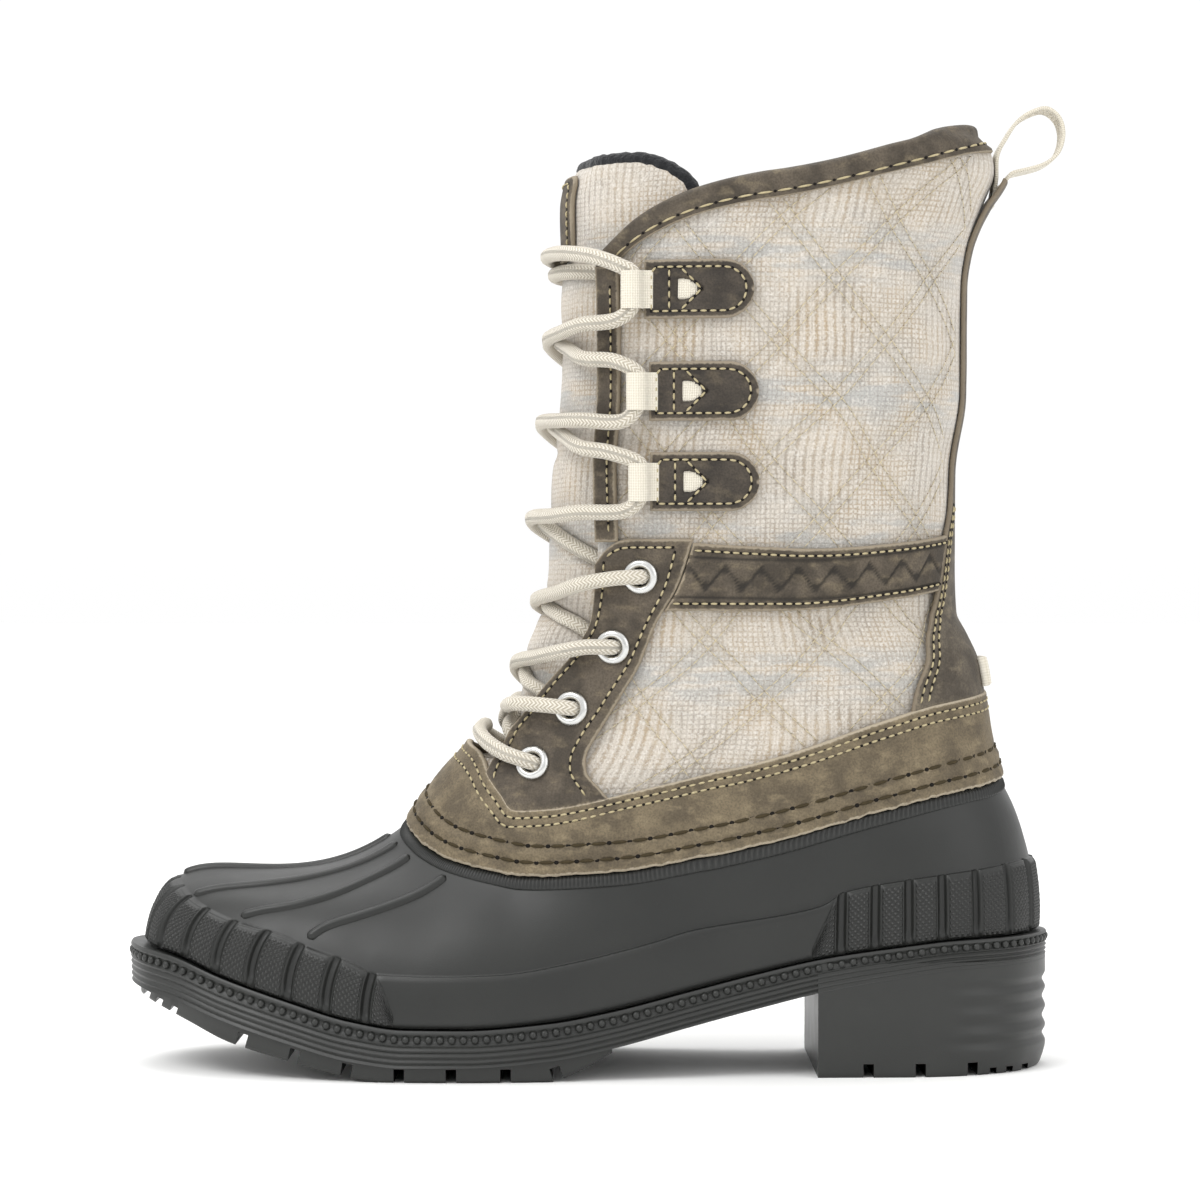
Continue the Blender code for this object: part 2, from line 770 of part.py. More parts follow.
def outsole():
    sole = sole_plate()
    boolean(sole, forefoot_tread(), "UNION")
    boolean(sole, heel_block(), "UNION")
    cut_boxes(sole, [tread_box(x, NOTCH_WIDTH, NOTCH_DEPTH) for x in FOREFOOT_NOTCHES + HEEL_NOTCHES])
    cut_boxes(sole, [tread_box(x, SMALL_NOTCH, NOTCH_DEPTH / 2) for x in TOE_NOTCHES + SMALL_HEEL_NOTCHES])
    size = NOTCH_WIDTH, 2 * LONG_GROOVE_DEPTH
    cut_boxes(sole, [box(x, y, 0.0, (length,) + size) for x, y, length in LONG_GROOVES])


def side_marks(first_groove):
    """Columns of the shell on one side, heel to toe: how far the foot and the ridge of each stand out."""
    toe_runs = [first_groove + TOE_PITCH * k for k in range(TOE_GROOVE_COUNT)]
    heel_grooves = [run / SIDE_ARC for run in HEEL_GROOVES]
    toe_grooves = [1 - run / SIDE_ARC for run in toe_runs]
    ridges = [1.0] + [1 - (first_groove + TOE_PITCH * pitch) / SIDE_ARC for pitch in RIDGE_PITCHES]
    half = GROOVE_HALF / SIDE_ARC
    marks = {0.0: (RAISED, 0.0)}
    for around in np.linspace(heel_grooves[-1], toe_grooves[-1], SHELL_SIDE_COLUMNS + 2)[1:-1]:
        marks[float(around)] = (RAISED, 0.0)
    for middle in heel_grooves + toe_grooves + ridges:
        for edge in (middle - half, middle + half):
            marks[edge] = (RAISED, 0.0)
        marks[middle] = (RAISED, RIDGE) if middle in ridges else (GROOVE_RAISED, 0.0)
    return {around: mark for around, mark in marks.items() if around <= 1}


def shell_ways():
    """Ways of the shell's columns, lateral heel to toe and back on the medial side, with their marks."""
    lateral, medial = (side_marks(FIRST_TOE_GROOVE[side]) for side in ("lateral", "medial"))
    up, down = sorted(lateral), sorted(medial, reverse=True)[1:-1]
    return up + [-around for around in down], [lateral[a] for a in up] + [medial[a] for a in down]


def shell_inset(way):
    return curve(SHELL, 6, np.abs(way))


def shell_column(way, share):
    """Point of the plain shell surface; share runs from 0 at the sole to 1 at the leather band."""
    around = np.abs(way)
    turn = np.where(way < 0, -1, 1) * curve(SHELL, 1, around)
    rise, lean, flare, drop = (curve(SHELL, column, around)[..., None] for column in (2, 3, 4, 5))
    edge, out = on_outline(way, 0.0)
    plan = edge - out * shell_inset(way)[..., None]
    up, flat = np.array([0.0, 0.0, 1.0]), np.zeros(out.shape[:-1] + (1,))
    out = np.concatenate([out, flat], -1)
    foot = np.concatenate([plan, (lip_height(edge[..., 0]) + LAY)[..., None]], -1)
    head = shaft(turn, band_edge(turn, 1))
    reach = foot - head
    reach[..., 2] = 0
    reach /= np.maximum(np.linalg.norm(reach, axis=-1, keepdims=True), TINY)
    low = foot + up * rise + out * lean
    high = head + reach * flare - up * drop
    t = np.asarray(share, float)[..., None]
    return (1 - t) ** 3 * foot + 3 * t * (1 - t) ** 2 * low + 3 * t * t * (1 - t) * high + t**3 * head


def share_at_height(way, height):
    """Share of the shell column where it reaches a height."""
    low, high = np.zeros_like(way), np.full_like(way, STEP_LIMIT)
    for _ in range(HALVINGS):
        middle = (low + high) / 2
        below = shell_column(way, middle)[..., 2] < height
        low, high = np.where(below, middle, low), np.where(below, high, middle)
    return (low + high) / 2


def rubber_shell():
    ways, marks = shell_ways()
    ways = np.array(ways)
    raised, ridge = (np.array(values)[:, None] for values in zip(*marks))
    _, out = on_outline(ways, 0.0)
    out = np.column_stack([out, np.zeros(len(ways))])
    up = np.array([0.0, 0.0, 1.0])
    step = share_at_height(ways, curve(STEP, 1, np.abs(ways)))
    turn = np.where(ways < 0, -1, 1) * curve(SHELL, 1, np.abs(ways))
    head = band_edge(turn, 1)

    plain = [shell_column(ways, step * share) for share in (0.0, 1.0)]
    above = [shell_column(ways, step + (1 - step) * share) for share in UPPER_ROWS]
    outer = [row + out * raised for row in plain]
    outer.append(above[0])
    outer += [row + up * ridge for row in above[1:]]
    outer += [shaft(turn, head), shaft(turn, head + SEAM_RISE)]
    inner = [shell_column(ways, step * share) for share in (0.0, 1.0)]
    inner += [shell_column(ways, step + (1 - step) * share) for share in UPPER_ROWS[1:]]
    inner = np.stack(inner, 1)
    around = np.roll(inner, -1, 0) - np.roll(inner, 1, 0)
    along = np.gradient(inner, axis=1)
    normal = np.cross(around, along)
    normal /= np.linalg.norm(normal, axis=-1, keepdims=True)
    normal[:, 0, 2] = 0
    normal *= np.where(np.sum(normal * inner, -1, keepdims=True) < 0, -1, 1)
    inner = inner - normal * SHELL_WALL
    seam_rows = [shaft(turn, height, -SHELL_WALL) for height in (head, head + SEAM_RISE)]
    inner = np.concatenate([inner, np.stack(seam_rows, 1)], 1)
    lined("rubber_shell", np.stack(outer, 1), inner[::2], "rubber")


def lined(name, outer, inner, kind):
    """Closed solid between two rings of columns, where the inner one has every second column of the outer."""
    columns, rows = outer.shape[:2]
    few, inner_rows = inner.shape[:2]
    base = columns * rows
    faces = []
    for i in range(columns):
        k = (i + 1) % columns
        faces += [[i * rows + j, k * rows + j, k * rows + j + 1, i * rows + j + 1] for j in range(rows - 1)]
    for i in range(few):
        a, b = base + i * inner_rows, base + (i + 1) % few * inner_rows
        faces += [[a + j, a + j + 1, b + j + 1, b + j] for j in range(inner_rows - 1)]
        outer_run = [(2 * i + k) % columns for k in range(3)]
        for row, inner_row in ((0, 0), (rows - 1, inner_rows - 1)):
            faces.append([c * rows + row for c in outer_run] + [b + inner_row, a + inner_row])
    object_of(name, np.concatenate([outer.reshape(-1, 3), inner.reshape(-1, 3)]), faces, kind)


def insole():
    ways = outline_ways(INSOLE_COLUMNS)
    edge, out = on_outline(ways, 0.0)
    plan = edge - out * (shell_inset(ways) + SHELL_WALL + INSOLE_CLEARANCE)[:, None]
    low = np.column_stack([plan, lip_height(plan[:, 0]) + GAP])
    high = low + (0, 0, INSOLE)
    object_of("insole", np.concatenate([low, high]), ladder(INSOLE_COLUMNS, 2), "lining")


def seam(turn):
    return band_edge(turn, 1) + SEAM_RISE + SEAM_GAP


def row_height(turn, part):
    """Height of a shaft row at a share of the way from the foot of the throat to the collar."""
    low = seam(turn) + THROAT_FOOT - seam(curve(THROAT, 1, THROAT_FOOT))
    return low + (collar_height(turn) - low) * part


def upper():
    """The wool shaft: a ring below the foot of the throat, open at the front above it."""
    share = np.linspace(1, -1, SHAFT_COLUMNS + 1)
    rows = []
    foot_rise = THROAT_FOOT - seam(curve(THROAT, 1, THROAT_FOOT))
    for k in range(LOW_ROWS + 1):
        rise = foot_rise * k / LOW_ROWS
        rows.append(settle(share, lambda turn: seam(turn) + rise))
    for part in HIGH_ROWS:
        rows.append(settle(share, lambda turn: row_height(turn, part)))
    turn, height = (np.stack(values, 1) for values in zip(*rows))

    ahead = np.linspace(0, 1, FRONT_COLUMNS + 1)[1:-1]
    front_turn = np.repeat(turn[-1:], len(ahead), 0)
    front_height = np.repeat(height[-1:], len(ahead), 0)
    for k in range(LOW_ROWS + 1):
        edge = -turn[-1, k]
        front_turn[:, k] = -(edge + (360 - 2 * edge) * ahead)
        low = seam(front_turn[:, k])
        front_height[:, k] = low + (THROAT_FOOT - low) * k / LOW_ROWS
    turn, height = np.concatenate([turn, front_turn]), np.concatenate([height, front_height])
    cells = np.ones((len(turn), turn.shape[1] - 1), bool)
    cells[SHAFT_COLUMNS:, LOW_ROWS:] = False
    shaft_wall = walled("shaft", shaft(turn, height), shaft(turn, height, -WALL), "wool", True, cells)
    boolean(shaft_wall, eyelet_holes(), "DIFFERENCE")


def tongue():
    ahead = np.linspace(0, 1, TONGUE_COLUMNS)[:, None]
    height = np.array(TONGUE_ROWS)[None, :] - np.zeros_like(ahead)
    corner = np.clip((np.abs(2 * ahead - 1) - CORNER_FROM) / (1 - CORNER_FROM), 0, 1) ** 2
    near_top = np.clip((height - TONGUE_TOP + CORNER_REACH) / CORNER_REACH, 0, 1)
    height = height - TONGUE_CORNER * corner * near_top
    edge = curve(TONGUE_EDGE, 1, height)
    turn = edge + (360 - 2 * edge) * ahead
    overlay("tongue", turn, height, TONGUE_LIFT - TONGUE, TONGUE, "wool")


def tongue_patch():
    turn = 180 + np.linspace(-PATCH_HALF_TURN, PATCH_HALF_TURN, PATCH_COLUMNS)[:, None]
    height = np.linspace(PATCH_BOTTOM, PATCH_TOP, PATCH_ROWS)[None, :]
    overlay("tongue_patch", turn, height, TONGUE_LIFT + LAY, BINDING, "leather")


def leather_band():
    behind = np.linspace(-BAND_TURN, BAND_TURN, BAND_COLUMNS)
    ahead = np.linspace(BAND_TURN, 360 - BAND_TURN, BAND_COLUMNS)[1:-1]
    turn = np.concatenate([behind, ahead])[:, None]
    share = np.linspace(0, 1, BAND_ROWS)[None, :]
    low, high = band_edge(turn, 1), band_edge(turn, 2)
    overlay("leather_band", turn, low + (high - low) * share, LAY, LEATHER, "leather", wrap=True)


def mirrored(turn, side):
    return turn if side == "lateral" else -turn


def eyestay_turn(share, height):
    front, rear = curve(THROAT, 1, height), curve(EYESTAY, 1, height)
    return front + (rear - front) * share


def above_band(turn):
    return band_edge(turn, 2) + 2 * GAP


def eyestay(side):
    share = np.linspace(0, 1, EYESTAY_COLUMNS)[:, None]
    rise = np.linspace(0, 1, EYESTAY_ROWS)[None, :]
    corner = np.clip(1 - share / EYESTAY_CORNER_SHARE, 0, 1) ** 2
    top = EYESTAY_TOP - EYESTAY_CORNER * corner
    start = THROAT_TURN + 0 * share
    bottom = above_band(settled(start, lambda turn: eyestay_turn(share, above_band(turn))))
    height = bottom + (top - bottom) * rise
    turn = eyestay_turn(share, height)
    piece = overlay("eyestay_" + side, mirrored(turn, side), height, LAY, LEATHER, "leather")
    boolean(piece, eyelet_holes(), "DIFFERENCE")


def ankle_strap(side):
    share = np.linspace(0, 1, STRAP_COLUMNS)[:, None]
    low, high = curve(STRAP, 1, share), curve(STRAP, 2, share)
    height = low + (high - low) * np.linspace(0, 1, STRAP_ROWS)[None, :]
    front, back = curve(EYESTAY, 1, height) - TURN_GAP, curve(BACKSTAY, 1, height) + TURN_GAP
    turn = front + (back - front) * share
    overlay("ankle_strap_" + side, mirrored(turn, side), height, LAY, LEATHER, "leather")


def backstay():
    share = np.linspace(-1, 1, BACKSTAY_COLUMNS)[:, None]

    def row(height_of):
        """Heights along one row, where the backstay's width and the row's height settle together."""
        start = share * curve(BACKSTAY, 1, 0.0)
        return height_of(settled(start, lambda turn: share * curve(BACKSTAY, 1, height_of(turn))))

    rows = [row(above_band)]
    for part in (0.0,) + HIGH_ROWS[:BACKSTAY_ROWS]:
        rows.append(row(lambda turn: row_height(turn, part)))
    rows.append(np.full_like(share, BACKSTAY_TOP))
    height = np.concatenate(rows, 1)
    turn = share * curve(BACKSTAY, 1, height)
    overlay("backstay", turn, height, curve(BACKSTAY, 2, height), LEATHER, "leather")


def heel_tab():
    turn = np.linspace(-HEEL_TAB_TURN, HEEL_TAB_TURN, HEEL_TAB_COLUMNS)[:, None]
    height = np.linspace(HEEL_TAB_BOTTOM, HEEL_TAB_TOP, HEEL_TAB_ROWS)[None, :]
    overlay("heel_tab", turn, height, BACK_LAY + LEATHER + LAY, 2 * WEBBING, "webbing")


def collar_height(turn):
    return curve(COLLAR, 1, folded(turn))


def collar_binding():
    """Leather folded over the collar edge, outside and in."""
    turn, _ = settle(np.linspace(1, -1, SHAFT_COLUMNS + 1), collar_height)
    turn *= 1 - TURN_GAP / THROAT_TURN
    top = collar_height(turn)
    far, near = BACK_LAY + BINDING, BACK_LAY
    profile = (
        # outer lift, outer rise, inner lift, inner rise
        (far, -BINDING_WIDTH, near, -BINDING_WIDTH),
        (far - BINDING_ROUND, far, near, near),
        (-WALL - far + BINDING_ROUND, far, -WALL - near, near),
        (-WALL - far, -BINDING_INNER, -WALL - near, -BINDING_INNER),
    )
    outer = np.stack([shaft(turn, top + rise, lift) for lift, rise, _, _ in profile], 1)
    inner = np.stack([shaft(turn, top + rise, lift) for _, _, lift, rise in profile], 1)
    walled("collar_binding", outer, inner, "leather")


def throat_strip(side):
    _, collar = settle(np.array([1.0]), collar_height)
    top = float(collar[0]) - BINDING_WIDTH - STRIP_CLEARANCE
    height = np.linspace(STRIP_BOTTOM, top, STRIP_ROWS)[None, :]
    front = curve(THROAT, 1, height)
    rear = turn_at(shaft_surface(front, height)[..., 0] + THROAT_STRIP_WIDTH, height)
    turn = front + (rear - front) * np.linspace(0, 1, STRIP_COLUMNS)[:, None]
    overlay("throat_strip_" + side, mirrored(turn, side), height, LAY, LEATHER, "leather")


def lace_tab(side, number, middle, front):
    """Tab with a square front and a round back end."""
    along = np.array(TAB_STATIONS) * TAB_LENGTH
    past = np.clip(along - (TAB_LENGTH - TAB_WIDTH / 2), 0, TAB_WIDTH / 2 - TAB_TIP)
    half = np.sqrt((TAB_WIDTH / 2) ** 2 - past**2)
    height = middle + half[:, None] * np.array([-1, 1])[None, :]
    turn = turn_at(front + along[:, None], height)
    overlay(f"lace_tab_{side}_{number}", mirrored(turn, side), height, LAY, LEATHER, "leather")


def webbing_loop(side, number, middle, front):
    """Tape folded forward from under the tab, open along its fold for the lace."""
    height = middle + LOOP_WIDTH / 2 * np.array([-1, 1])[None, :]
    grids = []
    for profile in (LOOP_OUTSIDE, LOOP_INSIDE):
        ahead, lift = (np.array(values)[:, None] for values in zip(*profile))
        turn = turn_at(front - ahead, height)
        grids.append(shaft(mirrored(turn, side), height, lift))
    walled(f"webbing_loop_{side}_{number}", grids[0], grids[1], "webbing", wrap=True)


def eyelet_frame(turn, height):
    """Centre on the shaft, with the normal and two directions across it."""
    centre = shaft(turn, height)
    normal = shaft(turn, height, 1.0) - centre
    across = np.cross(normal, (0.0, 0.0, 1.0))
    across /= np.linalg.norm(across)
    return centre, normal, across, np.cross(normal, across)


def turned_ring(place, profile, closed):
    """Points and faces of a profile turned about the normal of a place on the shaft."""
    centre, normal, across, upright = place
    points = []
    for k in range(EYELET_SIDES):
        angle = 2 * math.pi * k / EYELET_SIDES
        spoke = math.cos(angle) * across + math.sin(angle) * upright
        points += [centre + spoke * radius + normal * lift for radius, lift in profile]
    size = len(profile)
    spans = size if closed else size - 1
    faces = []
    for k in range(EYELET_SIDES):
        a, b = k * size, (k + 1) % EYELET_SIDES * size
        faces += [[a + j, a + (j + 1) % size, b + (j + 1) % size, b + j] for j in range(spans)]
    if not closed:
        for end in (0, size - 1):
            faces.append([k * size + end for k in range(EYELET_SIDES)])
    return points, faces


def eyelet_places():
    for side in ("lateral", "medial"):
        for number, (x, height) in enumerate(EYELETS, 1):
            yield side, number, eyelet_frame(mirrored(turn_at(x, height), side), height)


def eyelet_holes():
    points, faces = [], []
    for _, _, place in eyelet_places():
        rod, sides = turned_ring(place, [(EYELET_HOLE, -2 * WALL), (EYELET_HOLE, 2 * WALL)], False)
        faces += [[len(points) + v for v in face] for face in sides]
        points += rod
    return object_of("eyelet_holes", points, faces, "metal")


def eyelets():
    for side, number, place in eyelet_places():
        object_of(f"eyelet_{side}_{number}", *turned_ring(place, EYELET_PROFILE, True), "metal")


def pull_loop():
    outside = np.array(PULL_LOOP)
    inward = outside.mean(0) - outside
    inside = outside + inward / np.linalg.norm(inward, axis=1)[:, None] * PULL_LOOP_THICK
    grids = []
    for path in (outside, inside):
        edges = [np.insert(path, 1, y, axis=1) for y in (-PULL_LOOP_WIDTH / 2, PULL_LOOP_WIDTH / 2)]
        grids.append(np.stack(edges, 1))
    walled("pull_loop", grids[0], grids[1], "webbing", wrap=True)


def tube(name, path):
    """Round cord along a path, closed at both ends."""
    path = np.asarray(path)
    ahead = np.gradient(path, axis=0)
    ahead /= np.linalg.norm(ahead, axis=1, keepdims=True)
    across = np.cross(ahead, (0.0, 0.0, 1.0))
    across /= np.linalg.norm(across, axis=1, keepdims=True)
    upright = np.cross(across, ahead)
    points = []
    for middle, side, up in zip(path, across, upright):
        for k in range(LACE_SIDES):
            angle = 2 * math.pi * k / LACE_SIDES
            points.append(middle + LACE / 2 * (math.cos(angle) * side + math.sin(angle) * up))
    faces = [list(range(LACE_SIDES)), [len(points) - 1 - v for v in range(LACE_SIDES)]]
    for ring in range(len(path) - 1):
        for k in range(LACE_SIDES):
            a, b = ring * LACE_SIDES + k, ring * LACE_SIDES + (k + 1) % LACE_SIDES
            faces.append([a, b, b + LACE_SIDES, a + LACE_SIDES])
    return object_of(name, points, faces, "webbing")


def lace_path(upper_turn, upper, front, lower_turn, lower, lower_lift, front_lift):
    """Strand from the lateral upper hold over the throat edge and the tongue to the medial lower hold."""
    edge, far_edge = float(curve(THROAT, 1, upper)), float(curve(THROAT, 1, lower))
    down_lift = front_lift + DOWN_LIFT
    rows = [
        (upper_turn, upper, LACE_OVER),
        (edge + EDGE_TURN, upper + (front - upper) * EDGE_SHARE, LACE_OVER),
        (edge + DOWN_TURN, upper + (front - upper) * DOWN_SHARE, down_lift),
        (180.0, front, front_lift),
    ]
    if lower_lift > 0:
        rows.append((360 - far_edge - DOWN_TURN, front + (lower - front) * FAR_DOWN_SHARE, down_lift))
        rows.append((360 - far_edge - EDGE_TURN, front + (lower - front) * FAR_EDGE_SHARE, LACE_OVER))
    rows.append((360 - lower_turn, lower, lower_lift))
    turn = np.linspace(rows[0][0], rows[-1][0], LACE_STEPS)
    return turn, curve(rows, 1, turn), curve(rows, 2, turn)


def lace_bars():
    bottom_x, bottom = EYELETS[-1]
    start = float(turn_at(bottom_x - BAR_AHEAD, bottom + BAR_RISE))
    rows = ((start, bottom + BAR_RISE, LACE_OVER),) + BOTTOM_BAR
    turn = np.linspace(start, 360 - start, LACE_STEPS)
    tube("lace_bar_bottom", shaft(turn, curve(rows, 1, folded(turn)), curve(rows, 2, folded(turn))))
    for name, (front, end) in TOP_BARS.items():
        way = TOP_TURN, TOP_HEIGHT, front, TOP_END_TURN, end, TOP_END_LIFT
        turn, height, lift = lace_path(*way, LACE_ON_PATCH)
        turn = turn if name == "upper" else 360 - turn
        tube("lace_bar_top_" + name, shaft(turn, height, lift))


def lace_crossings():
    for number, (x, upper, front, lower_turn, lower, lower_lift) in enumerate(CROSSINGS, 1):
        way = float(turn_at(x, upper)), upper, front, lower_turn, lower, lower_lift
        turn, height, lift = lace_path(*way, LACE_ON_TONGUE + CROSS_LIFT)
        cross = tube(f"lace_cross_{number}", shaft(turn, height, lift))
        turn, height, lift = lace_path(*way, LACE_ON_TONGUE)
        boolean(cross, tube("strand", shaft(360 - turn, height, lift)), "UNION")


def build():
    for old in list(bpy.data.objects):
        bpy.data.objects.remove(old)
    outsole()
    rubber_shell()
    insole()
    upper()
    tongue()
    tongue_patch()
    leather_band()
    backstay()
    heel_tab()
    collar_binding()
    eyelets()
    pull_loop()
    lace_bars()
    lace_crossings()
    for side in ("lateral", "medial"):
        eyestay(side)
        ankle_strap(side)
        throat_strip(side)
        for number, (middle, front) in enumerate(TABS, 1):
            lace_tab(side, number, middle, front)
            webbing_loop(side, number, middle, front)


build()
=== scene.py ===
"""Looks of the left winter boot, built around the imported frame.

The foot form is worked out here from the same tables as the solids, in millimetres, at a finer pitch.
+Z is up, the toe points to -X and the lateral side, which faces the camera, to -Y.
"""

import math
from itertools import product

import bmesh
import bpy
import numpy as np
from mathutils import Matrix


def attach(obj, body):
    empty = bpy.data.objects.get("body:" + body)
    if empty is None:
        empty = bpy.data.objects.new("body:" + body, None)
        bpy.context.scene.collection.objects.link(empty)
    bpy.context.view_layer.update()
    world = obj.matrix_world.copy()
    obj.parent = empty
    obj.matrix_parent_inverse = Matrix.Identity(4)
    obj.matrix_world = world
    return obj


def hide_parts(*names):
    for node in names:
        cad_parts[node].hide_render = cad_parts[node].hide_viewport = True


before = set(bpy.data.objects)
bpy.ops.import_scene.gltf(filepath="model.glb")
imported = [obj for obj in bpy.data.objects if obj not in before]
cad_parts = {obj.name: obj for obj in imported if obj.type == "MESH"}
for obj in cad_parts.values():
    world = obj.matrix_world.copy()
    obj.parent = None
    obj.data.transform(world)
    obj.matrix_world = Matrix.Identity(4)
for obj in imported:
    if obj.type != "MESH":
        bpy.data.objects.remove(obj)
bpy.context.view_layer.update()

MM = 0.001
SIDES = ("lateral", "medial")

# Sizes of the foot form
LENGTH = 290.0
TOE_X = -147.6
BALL_WIDTH = 102.0
TOE_SWING = 6.0
SWING_FROM = 20.0
SQUARENESS = 2.3
SPLINE_STEPS = 24
LAY = 0.6
BACK_LAY = 1.0
WALL = 3.0
LEATHER = 1.5
BINDING = 1.2
TONGUE = 3.0
LACE = 4.7

OUTLINE = (
    # along, lateral, medial
    (0.020, 0.310, 0.550),
    (0.060, 0.530, 0.780),
    (0.120, 0.725, 0.910),
    (0.200, 0.875, 0.980),
    (0.280, 0.970, 1.000),
    (0.360, 1.000, 0.950),
    (0.450, 0.970, 0.845),
    (0.550, 0.875, 0.745),
    (0.650, 0.785, 0.695),
    (0.750, 0.735, 0.690),
    (0.850, 0.715, 0.695),
    (0.920, 0.630, 0.620),
    (0.970, 0.425, 0.425),
)
SOLE = (
    # x, lip, side
    (-147.6, 38.8, 12.2),
    (-132.0, 36.2, 13.0),
    (-115.0, 30.2, 12.8),
    (-93.0, 23.4, 12.5),
    (-75.0, 18.4, 12.0),
    (-58.0, 16.0, 11.4),
    (-40.0, 15.9, 11.2),
    (-14.0, 17.8, 11.2),
    (4.0, 20.8, 11.0),
    (30.0, 27.0, 10.6),
    (50.0, 31.9, 10.4),
    (70.0, 36.3, 10.0),
    (91.0, 39.4, 9.4),
    (112.0, 41.6, 8.8),
    (142.4, 42.5, 8.6),
)
TREAD = (
    # x, height
    (-143.0, 23.5),
    (-125.0, 16.0),
    (-113.5, 11.0),
    (-91.6, 5.2),
    (-75.6, 1.4),
    (-65.0, 0.0),
    (-15.0, 0.0),
    (-2.0, 4.6),
    (5.0, 8.6),
)
HEEL_LEVELS = (
    # height, scoop at the back
    (0.0, 2.0),
    (7.5, 0.0),
    (10.0, 1.0),
    (12.5, 0.0),
    (15.5, 1.0),
    (18.5, 0.0),
    (21.5, 1.0),
    (24.5, 0.0),
    (27.0, 1.0),
    (29.5, 0.0),
    (35.0, 0.0),
)
SHELL = (
    # around, turn, rise, lean, flare, drop, inset
    (0.00, 0.0, 15.5, 1.2, 9.0, 14.0, 4.0),
    (0.10, 25.0, 15.0, 1.0, 7.0, 13.0, 3.4),
    (0.20, 54.0, 14.0, 1.0, 3.0, 13.0, 2.5),
    (0.35, 86.0, 14.0, 1.0, 1.5, 13.0, 2.5),
    (0.50, 109.0, 17.0, 1.2, 3.0, 13.0, 2.5),
    (0.60, 125.0, 21.0, 1.2, 7.0, 13.0, 2.5),
    (0.70, 141.0, 26.0, 0.0, 13.0, 15.0, 2.5),
    (0.80, 154.0, 31.0, -1.5, 21.5, 18.5, 2.6),
    (0.90, 167.0, 32.4, -4.0, 30.0, 25.5, 4.2),
    (1.00, 180.0, 44.2, -4.4, 40.5, 36.0, 6.8),
)
STEP = (
    # around, height
    (0.000, 65.5),
    (0.060, 64.8),
    (0.130, 62.7),
    (0.198, 60.0),
    (0.255, 56.5),
    (0.275, 52.3),
    (0.392, 45.0),
    (0.425, 41.8),
    (0.508, 35.5),
    (0.573, 32.2),
    (0.635, 31.6),
    (0.685, 32.0),
    (0.720, 36.0),
    (0.757, 39.5),
    (0.790, 43.4),
    (0.840, 47.0),
    (0.885, 51.0),
    (0.940, 55.5),
    (1.000, 58.7),
)
SECTIONS = (
    # height, front, back, half_width
    (40.0, -72.0, 130.0, 37.0),
    (60.0, -66.0, 130.0, 38.0),
    (77.0, -58.0, 128.5, 37.5),
    (91.0, -47.5, 126.7, 36.5),
    (103.0, -37.5, 123.2, 36.0),
    (116.0, -33.0, 121.2, 35.5),
    (126.0, -28.2, 119.5, 35.5),
    (135.0, -25.5, 115.6, 36.0),
    (142.0, -23.2, 112.2, 36.5),
    (155.0, -20.8, 111.6, 37.5),
    (186.0, -19.2, 111.8, 40.0),
    (211.0, -16.6, 115.2, 42.0),
    (244.0, -15.4, 115.5, 44.0),
    (256.0, -15.6, 117.2, 44.8),
    (270.0, -16.0, 122.0, 45.5),
    (281.0, -16.0, 125.6, 46.0),
    (286.0, -16.0, 124.8, 46.0),
    (291.0, -16.0, 119.5, 45.6),
    (310.0, -16.0, 117.5, 45.0),
)
BAND = (
    # turn, lower, upper
    (0.0, 91.3, 118.0),
    (40.0, 86.3, 114.0),
    (60.0, 81.0, 108.5),
    (83.0, 71.0, 98.0),
    (102.0, 63.2, 88.5),
    (120.0, 61.3, 82.0),
    (128.0, 62.7, 81.3),
    (135.0, 64.2, 86.0),
    (142.0, 66.0, 90.5),
    (151.0, 69.0, 96.0),
    (160.0, 72.2, 99.0),
    (180.0, 77.5, 101.5),
)
THROAT = (
    # height, turn
    (60.0, 140.0),
    (85.0, 143.0),
    (97.0, 147.4),
    (104.0, 148.5),
    (113.0, 142.7),
    (122.0, 138.0),
    (132.0, 131.7),
    (140.0, 128.8),
    (157.0, 130.2),
    (200.0, 133.8),
    (256.0, 136.9),
    (310.0, 138.0),
)
COLLAR = (
    # turn, height
    (0.0, 294.4),
    (8.0, 294.0),
    (32.0, 291.6),
    (59.0, 285.2),
    (79.0, 278.8),
    (105.0, 270.9),
    (120.0, 263.5),
    (132.4, 254.2),
    (138.0, 250.0),
)
EYESTAY = (
    # height, rear turn
    (80.0, 104.0),
    (87.0, 110.5),
    (94.0, 117.2),
    (100.0, 119.6),
    (115.0, 115.3),
    (137.5, 109.5),
    (150.0, 104.6),
    (165.0, 101.1),
)
BACKSTAY = (
    # height, turn, lift
    (108.0, 51.0, BACK_LAY),
    (118.5, 47.8, BACK_LAY),
    (127.0, 43.0, BACK_LAY),
    (135.0, 38.6, BACK_LAY),
    (139.0, 33.9, BACK_LAY),
    (150.0, 26.7, BACK_LAY),
    (166.0, 20.5, BACK_LAY),
    (175.0, 15.0, BACK_LAY),
    (186.0, 12.5, BACK_LAY),
    (254.0, 12.5, BACK_LAY),
    (264.0, 12.5, 1.3),
    (271.0, 12.5, 2.3),
    (279.0, 11.0, 4.2),
)
STRAP = (
    # share from eyestay to backstay, lower, upper
    (0.00, 143.0, 163.7),
    (0.33, 143.0, 162.0),
    (0.70, 146.0, 164.0),
    (1.00, 149.0, 166.4),
)
TABS = (
    # height, front x
    (182.4, 16.9),
    (209.9, 16.6),
    (240.9, 15.2),
)
EYELETS = (
    # x, height
    (14.2, 153.4),
    (5.8, 131.8),
    (-6.8, 112.6),
    (-18.7, 95.4),
)
TONGUE_EDGE = (
    # height, turn
    (98.0, 151.0),
    (104.0, 141.0),
    (122.0, 126.0),
    (140.0, 116.0),
    (165.0, 110.0),
    (290.0, 108.0),
)
